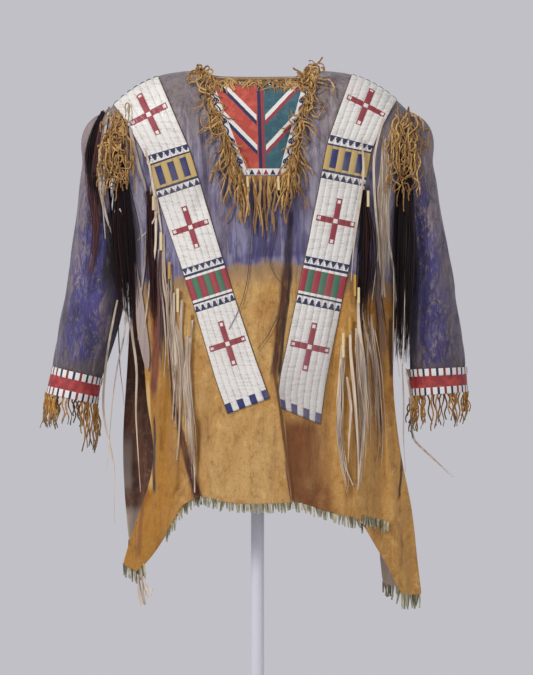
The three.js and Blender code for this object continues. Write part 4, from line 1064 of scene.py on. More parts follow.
def bib_paint(side):
    cloth, worn, dark, below = BIB_COLOURS[side]
    paint = Paint(f"bib_{side}", roughness=0.7, sheen=0.2)
    aside, up, _ = paint.chart()
    rim = paint.value_of("rim")
    wander = (paint.noise(90, 2) - 0.5) * 2.5
    colour = paint.mix(paint.ease(paint.noise(60, 4), 0.42, 0.66) * 0.7, cloth, worn)
    colour = paint.mix(paint.ease(paint.noise(140, 4), 0.5, 0.7) * 0.6, colour, dark)
    for foot in BAR_FEET:
        rise = up - foot - (aside - 9) * BAR_SLOPE + wander
        reach = aside > 8
        colour = paint.mix((rise > 0) * (rise < BAR_WHITE) * reach, colour, WHITE_BEAD)
        colour = paint.mix((rise > -BAR_DARK) * (rise < 0) * reach, colour, below)
    colour = paint.mix(aside + wander * 0.4 < STRIPE, colour, below)
    border = paint.sums("MAXIMUM", rim + wander * 0.5 < BORDER, up < BORDER_LOW)
    border = paint.sums("MAXIMUM", border, up > BORDER_TOP)
    colour = paint.mix(border, colour, WHITE_BEAD)
    sides = (rim < BORDER) * (up > BORDER_LOW)
    swing = abs((up * (math.pi / 19)).wave()) * 5
    scallop = (abs(rim - 1.5 - swing) < 1.7) * sides
    ring_up = (up - 8).turns(38) - 19
    ring_out = rim - 6.2
    ring = paint.sums("SQRT", ring_up * ring_up + ring_out * ring_out)
    ring = (abs(ring - 3.9) < 1.5) * sides
    colour = paint.mix(paint.sums("MAXIMUM", ring, scallop), colour, NAVY_BEAD)
    tooth = abs(aside.turns(13) - 6.5)
    points = (up < 12) * (up > 1.5) * (tooth + up * 0.5 < 6) * (rim > 9)
    turn_about = paint.mix((aside / 13).floor().turns(2), CRIMSON_BEAD, NAVY_BEAD)
    colour = paint.mix(points, colour, turn_about)
    dots = (up > BORDER_TOP) * ((aside + (up * 0.5)).turns(7) < 3.6)
    colour = paint.mix(dots, colour, shade(30, 26, 40))
    beads = abs((aside * (math.pi / 1.7)).wave()) * abs((up * (math.pi / 1.7)).wave())
    return paint.done(colour, beads, 0.5 * MM, 0.6)


bibs = {side: bib_half(side) for side in SIDES}
for side, piece in bibs.items():
    dress(bib_paint(side), piece)

# %% [markdown]
# ## Neck band and cuffs
#
# The band is plain ribbed cloth inside the back of the neck. A cuff is red cloth between two rows
# of beaded blocks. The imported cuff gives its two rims: a plane is fitted through the cuff, and
# what lies far above or below that plane is a rim. A new slab between the rims is used instead of a
# finer copy, because only a slab has a chart that runs evenly round the wrist.

# %% The neck band
band = finer(merged_copy("neck_band", "neck_binding"), 2)
band_points = points_of(band.data)
band_points[:, 1] -= 3 * MM
band.data.vertices.foreach_set("co", band_points.ravel())


def ribbed_cloth():
    paint = Paint("neck_binding", roughness=0.9, sheen=0.2)
    _, _, z = paint.parts(paint.place())
    # Both tones are painted much lighter than the cloth, as painted light where the band lies in the shade
    # inside the neck; each rib is painted lighter on its crest and darker between ribs, as painted
    # highlight and shade.
    ribs = abs((z * (math.pi / 0.0032)).wave())
    colour = paint.mix(ribs, shade(190, 150, 110), shade(244, 206, 160))
    colour = paint.mix(paint.ease(paint.noise(30, 3), 0.4, 0.7) * 0.4, colour, shade(206, 160, 110))
    return paint.done(colour, ribs, 0.8 * MM, 0.6)


dress(ribbed_cloth(), band)
print("neck band:", len(band.data.polygons), "faces")

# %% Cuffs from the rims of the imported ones
CUFF_COLUMNS = 120
CUFF_ROWS = 25
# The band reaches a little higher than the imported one.
CUFF_TALL = 1.22


def rims_of(node):
    """The lower and the upper rim of a packed cuff, as smooth rings of points."""
    points = np.unique(np.round(points_of(nodes[node].data), 5), axis=0)
    flat = np.c_[points[:, :2], np.ones(len(points))]
    above = points[:, 2] - flat @ np.linalg.lstsq(flat, points[:, 2], rcond=None)[0]
    turns = np.linspace(0, 2 * np.pi, CUFF_COLUMNS, endpoint=False)

    def waves(angle):
        round_trips = [turn(k * angle) for k in (1, 2, 3) for turn in (np.cos, np.sin)]
        return np.stack([np.ones_like(angle), *round_trips], 1)

    rims = []
    for chosen in (above < 0.75 * above.min(), above > 0.75 * above.max()):
        ring = points[chosen]
        centre = (ring.max(axis=0) + ring.min(axis=0)) / 2
        away = ring - centre
        far = np.hypot(away[:, 0], away[:, 1])
        angle = np.arctan2(away[:, 1], away[:, 0])
        bins = ((angle + np.pi) / (2 * np.pi) * 14).astype(int)
        outer = np.array([far[k] > far[bins == bins[k]].mean() for k in range(len(ring))])
        fit = np.linalg.lstsq(waves(angle[outer]), ring[outer], rcond=None)[0]
        rims.append(waves(turns) @ fit)
    return rims


cuff_rims = {side: rims_of(f"cuff_{side}") for side in SIDES}


def cuff(side):
    low, high = cuff_rims[side]
    share = np.linspace(0, CUFF_TALL, CUFF_ROWS)[:, None, None]
    grid = low[None] * (1 - share) + high[None] * share
    centre = grid.mean(axis=1, keepdims=True)
    away = unit((grid - centre) * [1, 1, 0])
    rows = np.linspace(0, 1, CUFF_ROWS)
    beaded = eased((np.abs(rows - 0.5) - 0.2) / 0.05) * 1.1 * MM
    turns = np.linspace(0, 1, CUFF_COLUMNS, endpoint=False)
    chart = np.stack(np.meshgrid(rows, turns, indexing="ij")[::-1], -1)
    top = grid + away * (beaded[:, None, None] + 0.8 * MM * (share > 0.9) - 0.4 * MM)
    return slab(f"cuff_band_{side}", top, grid - away * 2 * MM, chart, closed=True)


def cuff_paint():
    paint = Paint("cuff_beads_and_cloth", roughness=0.6)
    around, up, _ = paint.chart()
    block = around * 28
    gap = paint.mix(block.floor().turns(2), NAVY_BEAD, shade(120, 32, 44))
    beaded = paint.mix(block.turns(1) < 0.64, gap, WHITE_BEAD)
    wear = paint.ease(paint.noise(70, 4), 0.4, 0.66)
    cloth = paint.mix(wear, shade(134, 38, 44), shade(172, 60, 52))
    edge = abs(up - 0.5) > 0.22
    colour = paint.mix(edge, cloth, beaded)
    beads = abs((around * (math.pi * 190)).wave()) * abs((up * (math.pi * 30)).wave())
    return paint.done(colour, beads, 0.4 * MM, 0.5)


cuffs = {side: cuff(side) for side in SIDES}
dress(cuff_paint(), *cuffs.values())
print("cuffs:", [piece.name for piece in cuffs.values()])

# %% [markdown]
# ## Fringe
#
# Every fringe is cut hide. Hem fringe is short and stiff and its tips took up green paint. The
# thongs round the bib, on the shoulders and at the cuffs were twisted while wet, so they curl. All
# hang by one rule: a route starts at its root, falls, and never comes closer to the shirt than a
# small distance. A hair simulation would let them fall by themselves, but not where these fell.


# %% Routes that hang in front of the hide
def hanging(root_x, root_z, length, drift, clear, steps, toward, curl=0.0, seed=1):
    """Routes that fall from their roots, for many strands at once."""
    root_x, root_z, length, drift = (np.asarray(v, float) for v in (root_x, root_z, length, drift))
    chance = np.random.default_rng(seed)
    share = np.linspace(0, 1, steps)[None, :]
    phase = chance.random((len(root_x), 1)) * 6.28
    rate = 5 + 6 * chance.random((len(root_x), 1))
    swing = curl * eased(share * 2.5)
    x = root_x[:, None] + drift[:, None] * np.sin(share * 1.4) + swing * np.sin(rate * share + phase)
    z = root_z[:, None] - length[:, None] * share + 0.4 * swing * np.cos(rate * share * 1.3 + phase)
    lift = clear * np.minimum(1, 0.35 + share * 2)
    depth = depth_at(x, z, toward) + lift + swing * 0.5 * (1 + np.cos(rate * share + phase))
    depth = np.maximum.accumulate(depth, axis=1) * 0.4 + depth * 0.6
    return np.stack([x, toward * depth, z], -1)


# %% Hem fringe along the lower edges
def hem_line(xs, toward):
    """Height of the hem above each place, found by rays from below."""
    heights = []
    for x in xs:
        height = 0.28
        while height < 0.52:
            place = hides.ray_cast(Vector((x, toward * FAR, height)), Vector((0, -toward, 0)))[0]
            if place is not None and toward * place.y > 0:
                break
            height += 1.5 * MM
        heights.append(height)
    return np.array(heights)


# Side, ends of the run, number of thongs and their length.
HEM_RUNS = {
    "hem_thongs_front": (-1, -172, 196, 94, 19),
    "hem_thongs_back": (1, -180, 190, 88, 18),
    "pendant_thongs_right": (-1, -254, -214, 13, 25),
    "pendant_thongs_left": (-1, 266, 307, 15, 27),
    "pendant_thongs_back_left": (1, 241, 264, 8, 28),
    "pendant_thongs_back_right": (1, -244, -212, 10, 26),
}
# The front hem's row runs on over the left pendant, at this height.
ROW_ON_PENDANT = (199, 246, 15, 440)


def hem_thongs(name):
    toward, low, high, count, length = HEM_RUNS[name]
    chance = np.random.default_rng(count)
    xs = np.linspace(low, high, count) * MM + chance.normal(0, 0.5 * MM, count)
    roots = hem_line(xs, toward) + 2 * MM
    if name == "hem_thongs_front":
        start, end, more, height = ROW_ON_PENDANT
        xs = np.concatenate([xs, np.linspace(start, end, more) * MM])
        roots = np.concatenate([roots, np.linspace(height, height - 13, more) * MM])
        count += more
    lengths = length * MM * chance.uniform(0.75, 1.15, count)
    share = np.linspace(0, 1, 5)[None, :]
    x = xs[:, None] + chance.normal(0, 2.6 * MM, (count, 1)) * share
    z = roots[:, None] - lengths[:, None] * share
    depth = depth_at(np.repeat(xs[:, None], 5, 1), np.repeat(roots[:, None], 5, 1) + 3 * MM, toward)
    own_row = np.arange(count) < HEM_RUNS[name][3]
    lift = np.where(own_row, -1.2 * MM, 1.6 * MM)[:, None]
    y = toward * (depth + lift + np.abs(chance.normal(0, 1.6 * MM, (count, 1))) * share)
    routes = np.stack([x, np.broadcast_to(y, x.shape), z], -1)
    return strands(name, routes, 4.1 * MM, 1.6 * MM, narrowing(0.25))


hem_pieces = {name: hem_thongs(name) for name in HEM_RUNS}
print("hem fringes:", len(hem_pieces))

# %% Thongs that tangle
# The highest place that a thong may rise to, and the most that one stands off the hide.
LOOP_TOP = 1302 * MM
LOOSE = 9 * MM


def tangled(root_x, root_z, heading, length, pull, curl, clear, steps, toward, seed, reach=60 * MM):
    """Routes that wander from a root, each with its own bends, and sag as they go."""
    chance = np.random.default_rng(seed)
    count = len(root_x)
    angle = np.array(heading, float)
    bend = chance.normal(0, 1, count) * curl
    x = [np.array(root_x)]
    z = [np.array(root_z)]
    stride = length / (steps - 1)
    for _ in range(steps - 1):
        bend = 0.7 * bend + chance.normal(0, 0.6, count) * curl
        angle = angle + bend + pull * np.sin(-math.pi / 2 - angle)
        x.append(x[-1] + stride * np.cos(angle))
        z.append(z[-1] + stride * np.sin(angle))
    x, z = np.stack(x, 1), np.minimum(np.stack(z, 1), LOOP_TOP)
    reach = np.asarray(reach, float)
    x = root_x[:, None] + reach * np.tanh((x - root_x[:, None]) / reach)
    lift = np.abs(np.cumsum(chance.normal(0, 1.4 * MM, x.shape), axis=1))
    depth = depth_at(x, np.minimum(z, SHOULDER_Z * MM), toward) + clear + np.minimum(lift, LOOSE)
    return np.stack([x, toward * depth, z], -1)


def wound(routes, seed):
    """Twist along each route, so that the flat thongs turn over as they go."""
    return np.cumsum(np.random.default_rng(seed).normal(0, 0.5, routes.shape[:2]), axis=1)


# %% Fringe round the bib
NECK_COUNT = 84


def bib_thongs(side):
    sign = SIDES[side]
    chance = np.random.default_rng(40 + sign)
    share = np.sort(chance.random(NECK_COUNT)) ** 0.9
    root_z = 1.252 + (BIB_LOW - 1.252) * share
    root_x = np.array([bib_edge(side, z) for z in root_z])
    root_x = root_x + sign * chance.uniform(-2, 4, NECK_COUNT) * MM
    length = (52 + 40 * share) * MM * chance.uniform(0.5, 1.15, NECK_COUNT)
    heading = -math.pi / 2 + sign * (1.5 - 1.35 * share) * chance.uniform(0.1, 1.1, NECK_COUNT)
    curl = 0.46 - 0.34 * share
    pull = 0.12 + 0.3 * share
    routes = tangled(root_x, root_z, heading, length, pull, curl, 5 * MM, 16, -1, 5 + sign)
    width = (2.7 + 1.3 * share) * MM
    twist = wound(routes, 2 + sign)
    return strands(f"bib_thongs_{side}", routes, width, 1.8 * MM, narrowing(0.3), twist)


def low_thongs():
    count = 19
    chance = np.random.default_rng(9)
    share = np.linspace(0, 1, count)
    root_x = (-26 + 76 * share) * MM
    length = (66 + 44 * np.sin(np.pi * share) ** 0.8) * MM * chance.uniform(0.55, 1.1, count)
    root_z = np.full(count, BIB_LOW - 1 * MM)
    drift = chance.normal(0, 6 * MM, count)
    routes = hanging(root_x, root_z, length, drift, 6 * MM, 12, -1, 1.8 * MM, 3)
    twist = np.cumsum(chance.normal(0, 0.4, (count, 12)), axis=1)
    return strands("bib_thongs_low", routes, 3.9 * MM, 2 * MM, narrowing(0.35), twist)


def bib_tubes():
    """Short quill tubes among the thongs under the bib."""
    rows = [(-19, 1076, -18, 1056), (39, 1076, 40, 1050), (-55, 1120, -60, 1098)]
    routes = []
    for top_x, top_z, low_x, low_z in rows:
        x = np.linspace(top_x, low_x, 4) * MM
        z = np.linspace(top_z, low_z, 4) * MM
        routes.append(np.stack([x, -depth_at(x, z, -1) - 10 * MM, z], 1))
    return strands("bib_tubes", routes, 4 * MM, 3.6 * MM, own=[0.1, 0.1, 0.6])


def neck_loops(side):
    """Knotted thongs that stand up in loops at each end of the neck band."""
    sign = SIDES[side]
    count = 22
    chance = np.random.default_rng(70 + sign)
    root_x = sign * chance.uniform(92, 112, count) * MM
    root_z = chance.uniform(1255, 1280, count) * MM
    heading = chance.uniform(0.2, 2.9, count)
    length = chance.uniform(36, 66, count) * MM
    routes = tangled(root_x, root_z, heading, length, 0.24, 0.6, 4 * MM, 16, -1, 81 + sign)
    return strands(f"neck_loops_{side}", routes, 3.0 * MM, 1.7 * MM, twist=wound(routes, 7))


def collar_thongs():
    """The untidy row of thongs over the lower edge of the neck band and the top of the bib."""
    count = 80
    chance = np.random.default_rng(12)
    x = chance.uniform(-98, 100, (count, 1)) * MM
    lean = chance.normal(0, 15, (count, 1)) * MM
    share = np.linspace(0, 1, 8)[None, :]
    wave = chance.uniform(1, 3, (count, 1)) * MM
    x = x + lean * share + wave * np.sin(share * 9 + lean * 400)
    drop = chance.uniform(4, 24, (count, 1)) * MM
    z = 1.258 - drop * share + 4 * MM * np.sin(share * 5 + lean * 300)
    y = -depth_at(x, np.minimum(z, SHOULDER_Z * MM), -1) - 3.5 * MM - 3 * MM * np.sin(share * 3.1)
    routes = np.stack([x, y, z], -1)
    return strands("collar_thongs", routes, 2.4 * MM, 1.6 * MM, narrowing(0.3))


low_fringe = low_thongs()
collar = collar_thongs()
bib_fringes = {side: bib_thongs(side) for side in SIDES}
loops = {side: neck_loops(side) for side in SIDES}
tubes = bib_tubes()
print("thongs round the bib:", 2 * NECK_COUNT)

# %% Fringe on the shoulders
# Ends of the root across the shoulder and the longest thong in millimetres.
SHOULDERS = {"right": (252, 284, 150), "left": (258, 300, 170)}
# Which way each row faces, its name and its number of thongs.
SHOULDER_ROWS = ((-1, "front", 64), (1, "back", 34))


def shoulder_thongs(side):
    sign = SIDES[side]
    near, far, longest = SHOULDERS[side]
    pieces = []
    for toward, where, count in SHOULDER_ROWS:
        chance = np.random.default_rng(90 + sign + 3 * toward)
        share = chance.random(count)
        root_z = np.where(toward < 0, 1.206, 1.214) - 0.12 * share
        root_x = sign * (near + (far - near) * chance.random(count)) * MM
        length = longest * MM * chance.uniform(0.3, 0.95, count) * (1.1 - 0.5 * share)
        heading = -math.pi / 2 + sign * chance.normal(0.05, 0.45, count)
        routes = tangled(
            root_x, root_z, heading, length, 0.36, 0.42, 9 * MM, 26, toward, 31 + sign, 24 * MM,
        )
        pieces.append(strands(
            f"shoulder_thongs_{side}_{where}", routes, 2.8 * MM, 1.8 * MM, narrowing(0.3),
            wound(routes, 12), (0, toward, 0),
        ))
    return pieces


# %% Fringe at the cuffs
# Number of thongs at each cuff, the longest of them and the extra of the bunch on the inner side.
CUFF_RUNS = {"right": (64, 64, 0.45), "left": (58, 66, 0.0)}


def cuff_thongs(side):
    low, _ = cuff_rims[side]
    count, longest, more = CUFF_RUNS[side]
    chance = np.random.default_rng(17)
    cell = (np.sort(chance.random(count)) * CUFF_COLUMNS).astype(int) % CUFF_COLUMNS
    root = low[cell]
    inward = (low.mean(axis=0) - root) * [1, 1, 0]
    root = root + unit(inward) * 2 * MM
    inner = root[:, 0] * SIDES[side] < np.quantile(root[:, 0] * SIDES[side], 0.3)
    length = longest * MM * chance.uniform(0.55, 1.1, count) * (1 + more * inner)
    share = np.linspace(0, 1, 10)[None, :]
    sway = chance.normal(0, 6 * MM, (count, 2, 1)) * share[:, None]
    curl = 2.4 * MM * np.sin(share * 9 + chance.random((count, 1)) * 6)
    x = root[:, 0:1] + sway[:, 0] + curl
    y = root[:, 1:2] + sway[:, 1]
    z = root[:, 2:3] + 1.5 * MM - length[:, None] * share
    twist = np.cumsum(chance.normal(0, 0.4, (count, 10)), axis=1)
    routes = np.stack([x, y, z], -1)
    return strands(f"cuff_thongs_{side}", routes, 3.0 * MM, 1.7 * MM, narrowing(0.3), twist)


shoulder_pieces = {side: shoulder_thongs(side) for side in SIDES}
cuff_fringes = {side: cuff_thongs(side) for side in SIDES}
print("cuff thongs:", {side: CUFF_RUNS[side][0] for side in SIDES})


# %% Finishes of the fringes
def thong_paint(name, light, dark, tip, tip_from):
    paint = Paint(name, roughness=0.8, sheen=0.1)
    own = paint.value_of("own")
    share = paint.value_of("share")
    colour = paint.mix(own, light, dark)
    colour = paint.mix(paint.ease(paint.noise(90, 3), 0.4, 0.7) * 0.5, colour, dark)
    colour = paint.mix(paint.ease(share, tip_from, 1.0) * 0.8, colour, tip)
    return paint.done(colour, paint.noise(500, 3), 0.5 * MM, 0.5)


# Light hide, dark hide and tip of each kind, and how far along a thong its tip begins.
THONG_COLOURS = {
    "golden_thongs": (shade(206, 164, 98), shade(116, 78, 34), shade(140, 102, 54), 0.7),
    "cuff_thongs": (shade(196, 146, 66), shade(140, 92, 30), shade(92, 82, 66), 0.6),
    "hem_thongs": (shade(184, 174, 142), shade(76, 70, 48), shade(150, 152, 130), 0.55),
}
THONGS = {name: thong_paint(name, *colours) for name, colours in THONG_COLOURS.items()}
dress(THONGS["golden_thongs"], low_fringe, collar, *bib_fringes.values(), *loops.values())
dress(THONGS["golden_thongs"], *shoulder_pieces["right"], *shoulder_pieces["left"])
dress(THONGS["cuff_thongs"], *cuff_fringes.values())
dress(THONGS["hem_thongs"], *hem_pieces.values())
print("finishes of thongs:", ", ".join(THONGS))

# %% [markdown]
# ## Hair and hide strips
#
# From the outer edge of each strip hang locks of hair, wrapped at the top in dyed quill, and long
# narrow strips of pale hide. In front each one is placed along its own listed route, because
# their uneven fall is what gives the sides of the shirt their look. Hair is a fan of fine strands
# round such a route. Behind, where the same rows hang, the routes come from a rule.

# %% Strips of hide, each with its width, tone and route in millimetres
# Tone is 0 for pale hide and 1 for dark.
HIDE_STRIPS = {
    "right": [
        (8, 0.05, [
            (-178, 969), (-176, 864), (-166, 826), (-150, 788), (-141, 712), (-146, 636), (-147, 585),
            (-152, 544),
        ]),
        (10, 0.0, [
            (-124, 807), (-127, 788), (-133, 699), (-128, 636), (-124, 572), (-118, 534), (-118, 483),
        ]),
        (5, 0.3, [(-142, 845), (-145, 788), (-140, 731), (-136, 655), (-134, 579)]),
        (4.5, 0.15, [(-239, 940), (-239, 788), (-226, 712), (-231, 646), (-226, 559), (-221, 483)]),
        (3, 0.2, [
            (-252, 931), (-257, 864), (-246, 788), (-264, 737), (-275, 661), (-279, 610), (-282, 572),
            (-287, 509),
        ]),
        (4.5, 0.15, [
            (-265, 845), (-287, 737), (-295, 636), (-284, 585), (-269, 521), (-273, 458), (-271, 420),
        ]),
        (2, 0.9, [(-264, 845), (-264, 788), (-261, 712), (-252, 646)]),
        (5, 0.1, [(-204, 1102), (-191, 1026), (-191, 940), (-204, 874), (-214, 788), (-216, 740)]),
        (2.5, 0.05, [(-185, 1016), (-204, 978), (-229, 955)]),
        (5, 0.25, [(-212, 1130), (-199, 1083), (-189, 1026), (-180, 969), (-176, 920)]),
        (7, 0.35, [(-240, 1168), (-232, 1130), (-223, 1092), (-212, 1064), (-208, 1030)]),
        (3.5, 0.0, [
            (-260, 1017), (-252, 998), (-245, 960), (-247, 929), (-240, 894), (-233, 858), (-238, 811),
            (-247, 760),
        ]),
        (7, 0.25, [(-297, 1130), (-297, 1052), (-285, 998), (-273, 965), (-268, 950)]),
        (5, 0.15, [(-282, 1200), (-290, 1150), (-288, 1090), (-292, 1030), (-287, 960)]),
        (2.5, 0.85, [(-168, 900), (-163, 850), (-168, 800), (-160, 740)]),
        (4, 0.4, [(-200, 1060), (-208, 980), (-214, 900), (-222, 840), (-226, 770)]),
        (6, 0.1, [(-157, 858), (-158, 800), (-152, 740), (-157, 680), (-160, 620)]),
        (3.5, 0.3, [(-186, 940), (-184, 880), (-176, 820), (-172, 760), (-176, 700)]),
    ],
    "left": [
        (9, 0.05, [(160, 760), (152, 642), (152, 566), (166, 528), (179, 497)]),
        (6, 0.1, [(174, 788), (174, 756), (183, 655), (189, 566), (189, 502)]),
        (7, 0.05, [(189, 845), (189, 807), (202, 706), (202, 629), (194, 553), (188, 489)]),
        (4.5, 0.15, [(197, 845), (197, 807), (215, 744), (227, 655), (231, 598)]),
        (4.5, 0.05, [(237, 1187), (217, 1111), (222, 1009), (230, 946), (222, 895), (216, 845)]),
        (5, 0.05, [
            (267, 1187), (250, 1124), (253, 1060), (238, 997), (260, 895), (257, 857), (256, 724),
        ]),
        (3.5, 0.0, [(269, 1012), (276, 958), (278, 882), (278, 788), (273, 712), (276, 617)]),
        (11, 0.15, [(244, 1120), (242, 1060), (238, 980), (236, 900), (240, 850)]),
        (3, 0.4, [(273, 725), (276, 660), (275, 591), (279, 520)]),
        (2, 0.9, [(204, 870), (197, 788), (210, 693)]),
        (2.5, 0.9, [(221, 917), (235, 845), (248, 750)]),
        (4, 0.1, [(196, 1150), (200, 1080), (190, 1010), (180, 940), (176, 880)]),
        (5, 0.2, [(226, 1060), (232, 990), (228, 930), (236, 870), (232, 800)]),
        (4, 0.05, [(262, 940), (258, 880), (264, 820), (262, 760), (268, 700)]),
        (5, 0.15, [(168, 700), (176, 640), (172, 590), (170, 540)]),
        (4, 0.3, [(208, 780), (206, 700), (214, 640), (212, 570)]),
    ],
}
# One strip still has its fur on and widens downwards.
FUR_STRIP = (19, [(-231, 917), (-225, 864), (-218, 788), (-212, 750), (-208, 714)])


def placed(points, steps, toward, clear):
    """A smooth route through given points, held just clear of the shirt."""
    line = np.array(points, float) * MM
    gone = np.concatenate([[0], np.cumsum(np.hypot(*np.diff(line, axis=0).T))])
    at = np.linspace(0, gone[-1], steps)
    x, z = (np.interp(at, gone, line[:, k]) for k in (0, 1))
    depth = depth_at(x, z, toward) + clear
    for _ in range(4):
        for row in (x, z, depth):
            row[1:-1] = (row[:-2] + 2 * row[1:-1] + row[2:]) / 4
    depth = np.maximum(depth, depth_at(x, z, toward) + clear * 0.6)
    return np.stack([x, toward * depth, z], 1)


def strip_shape(along):
    """Narrow at the root, widest in the middle and thin at the tip."""
    return 0.55 + 0.45 * np.sin(np.pi * np.clip(along * 1.1 + 0.1, 0, 1)) - 0.3 * along ** 3


def fur_shape(along):
    return 0.2 + 0.8 * np.sin(np.pi * np.clip(along, 0, 1) ** 1.6) ** 0.7


def hide_strips(side):
    widths, tones, lines = zip(*HIDE_STRIPS[side])
    chance = np.random.default_rng(60 + SIDES[side])
    routes = [placed(line, 28, -1, (4 + (k % 3) * 2.2) * MM) for k, line in enumerate(lines)]
    twist = np.cumsum(chance.normal(0, 0.12, (len(lines), 28)), axis=1)
    width = np.array(widths) * MM
    return strands(f"hide_strips_{side}", routes, width, 1.8 * MM, strip_shape, twist, own=tones)


strips_of_hide = {side: hide_strips(side) for side in SIDES}
fur_width, fur_line = FUR_STRIP
fur_route = placed(fur_line, 24, -1, 7 * MM)
fur_strip = strands("fur_strip", [fur_route], fur_width * MM, 5 * MM, fur_shape)
print("strips of hide:", {side: len(rows) for side, rows in HIDE_STRIPS.items()})

# %% Locks of hair: hairs, spread, tone and route
# The thick darkest locks in front of each armhole are dark hair that also stands in for the shade inside
# the armhole.
FRONT_LOCKS = {
    "right": [
        (180, 19, 1.0, [(-257, 1130), (-254, 978), (-250, 921), (-244, 864), (-240, 800)]),
        (60, 9, 0.97, [(-292, 1205), (-312, 1150), (-314, 1100), (-304, 1050), (-296, 1010)]),
        (26, 8, 0.75, [(-300, 1190), (-323, 1130), (-313, 1035), (-304, 988), (-313, 917), (-323, 870)]),
        (18, 6, 0.75, [(-296, 1180), (-313, 1083), (-302, 1024), (-306, 941), (-326, 866)]),
        (60, 9, 0.9, [(-206, 1050), (-201, 980), (-198, 920), (-196, 850), (-198, 790)]),
        (40, 8, 0.2, [(-163, 900), (-166, 840), (-158, 760), (-152, 690), (-150, 600)]),
        (30, 6, 0.1, [(-130, 800), (-132, 720), (-128, 650), (-124, 580), (-120, 500)]),
        (30, 8, 0.6, [(-180, 960), (-184, 900), (-178, 830), (-182, 760), (-176, 690)]),
        (110, 13, 1.0, [(-258, 1110), (-254, 1010), (-248, 930), (-243, 860), (-240, 790)]),
    ],
    "left": [
        (90, 13, 0.95, [(200, 1052), (206, 975), (205, 900), (200, 830), (204, 780)]),
        (140, 12, 1.0, [(274, 1120), (276, 940), (275, 845), (272, 730)]),
        (100, 8, 1.0, [(284, 1110), (289, 960), (286, 860), (280, 720)]),
        (10, 3, 0.3, [(278, 725), (288, 665), (292, 617), (294, 579), (306, 570), (350, 528), (370, 508)]),
        (34, 7, 0.05, [(160, 760), (156, 680), (152, 600), (158, 540), (170, 480)]),
        (34, 7, 0.05, [(186, 800), (192, 700), (200, 620), (196, 550), (190, 480)]),
        (16, 9, 0.15, [(212, 820), (220, 730), (224, 650), (230, 590), (228, 520)]),
        (40, 12, 0.2, [(240, 1150), (236, 1060), (234, 980), (236, 900), (232, 840)]),
        (16, 7, 0.5, [(222, 920), (228, 850), (236, 780), (240, 700)]),
        (80, 7, 1.0, [(264, 1060), (266, 960), (266, 860), (265, 790), (266, 725)]),
    ],
}
# Quill wraps: place of the top and length.
WRAPS = {
    "right": [(-182, 972, 34), (-166, 916, 32), (-150, 866, 44), (-128, 822, 46), (-196, 1040, 26)],
    "left": [(208, 1050, 30), (183, 892, 40), (161, 782, 46), (173, 812, 30), (190, 868, 30)],
}
# Behind: number of locks, hairs in each and the longest lock in metres.
BACK_LOCKS = (7, 30, 0.27)
HAIR_WIDE, HAIR_THICK = 1.5 * MM, 1.1 * MM


def hair_shape(along):
    return 1 - 0.75 * along ** 2


# %% Hair in front, behind, and its wraps
def front_hair(side):
    """Fans of hair round the listed routes."""
    chance = np.random.default_rng(300 + SIDES[side])
    steps = 18
    routes = []
    tones = []
    for hairs, spread, tone, points in FRONT_LOCKS[side]:
        line = placed(points, 40, -1, 6 * MM)
        first = chance.uniform(0, 0.14, (hairs, 1))
        last = chance.uniform(0.6, 1.0, (hairs, 1))
        reach = first + (last - first) * np.linspace(0, 1, steps)[None, :]
        made = np.stack([np.interp(reach, np.linspace(0, 1, 40), line[:, k]) for k in range(3)], -1)
        off = chance.normal(0, 1, (hairs, 1)) * spread * MM * 0.6
        swing = chance.normal(0, 1, (hairs, 1)) * 1.6 * MM
        sway = swing * np.sin(reach * 9 + chance.random((hairs, 1)) * 6)
        made[:, :, 0] += off * eased(0.25 + 1.3 * reach) * (1.15 - 0.4 * reach) + sway
        made[:, :, 1] -= np.abs(chance.normal(0, 2.4 * MM, (hairs, 1))) * eased(0.3 + reach * 2)
        routes.append(made)
        tones.append(np.clip(tone + chance.normal(0, 0.06, hairs), 0, 1))
    return strands(f"hair_{side}_front", np.concatenate(routes), HAIR_WIDE, HAIR_THICK, hair_shape,
                   sides=3, own=np.concatenate(tones))


def back_hair(side):
    """Locks behind, at even steps down the edge of the strip."""
    sign = SIDES[side]
    count, hairs, longest = BACK_LOCKS
    chance = np.random.default_rng(400 + sign)
    routes = []
    tones = []
    for k in range(count):
        z = 1.08 - 0.36 * (k + 0.4) / count
        x = strip_edge(side, z)
        length = longest * chance.uniform(0.7, 1.15) * chance.uniform(0.6, 1.0, hairs)
        drift = sign * 12 * MM * (chance.random() - 0.35) + chance.normal(0, 9 * MM, hairs)
        root_x, root_z = np.full(hairs, x), np.full(hairs, z)
        routes.append(hanging(root_x, root_z, length, drift, 7 * MM, 10, 1, 2 * MM, 7 + k))
        tones.append(np.full(hairs, 0.9 if k % 3 == 1 else 0.15))
    return strands(f"hair_{side}_back", np.concatenate(routes), HAIR_WIDE, HAIR_THICK, hair_shape,
                   facing=(0, 1, 0), sides=3, own=np.concatenate(tones))


def wraps(side):
    routes = [placed([(x, z), (x, z - length)], 6, -1, 9 * MM) for x, z, length in WRAPS[side]]
    turn_about = np.arange(len(routes)) % 2
    return strands(f"hair_wraps_{side}", routes, 4.6 * MM, 4.2 * MM, own=turn_about)


hair_pieces = {}
for side in SIDES:
    hair_pieces[f"{side}_front"] = front_hair(side)
    hair_pieces[f"{side}_back"] = back_hair(side)
wrap_pieces = {side: wraps(side) for side in SIDES}
print("hairs in front:", {side: sum(row[0] for row in rows) for side, rows in FRONT_LOCKS.items()})
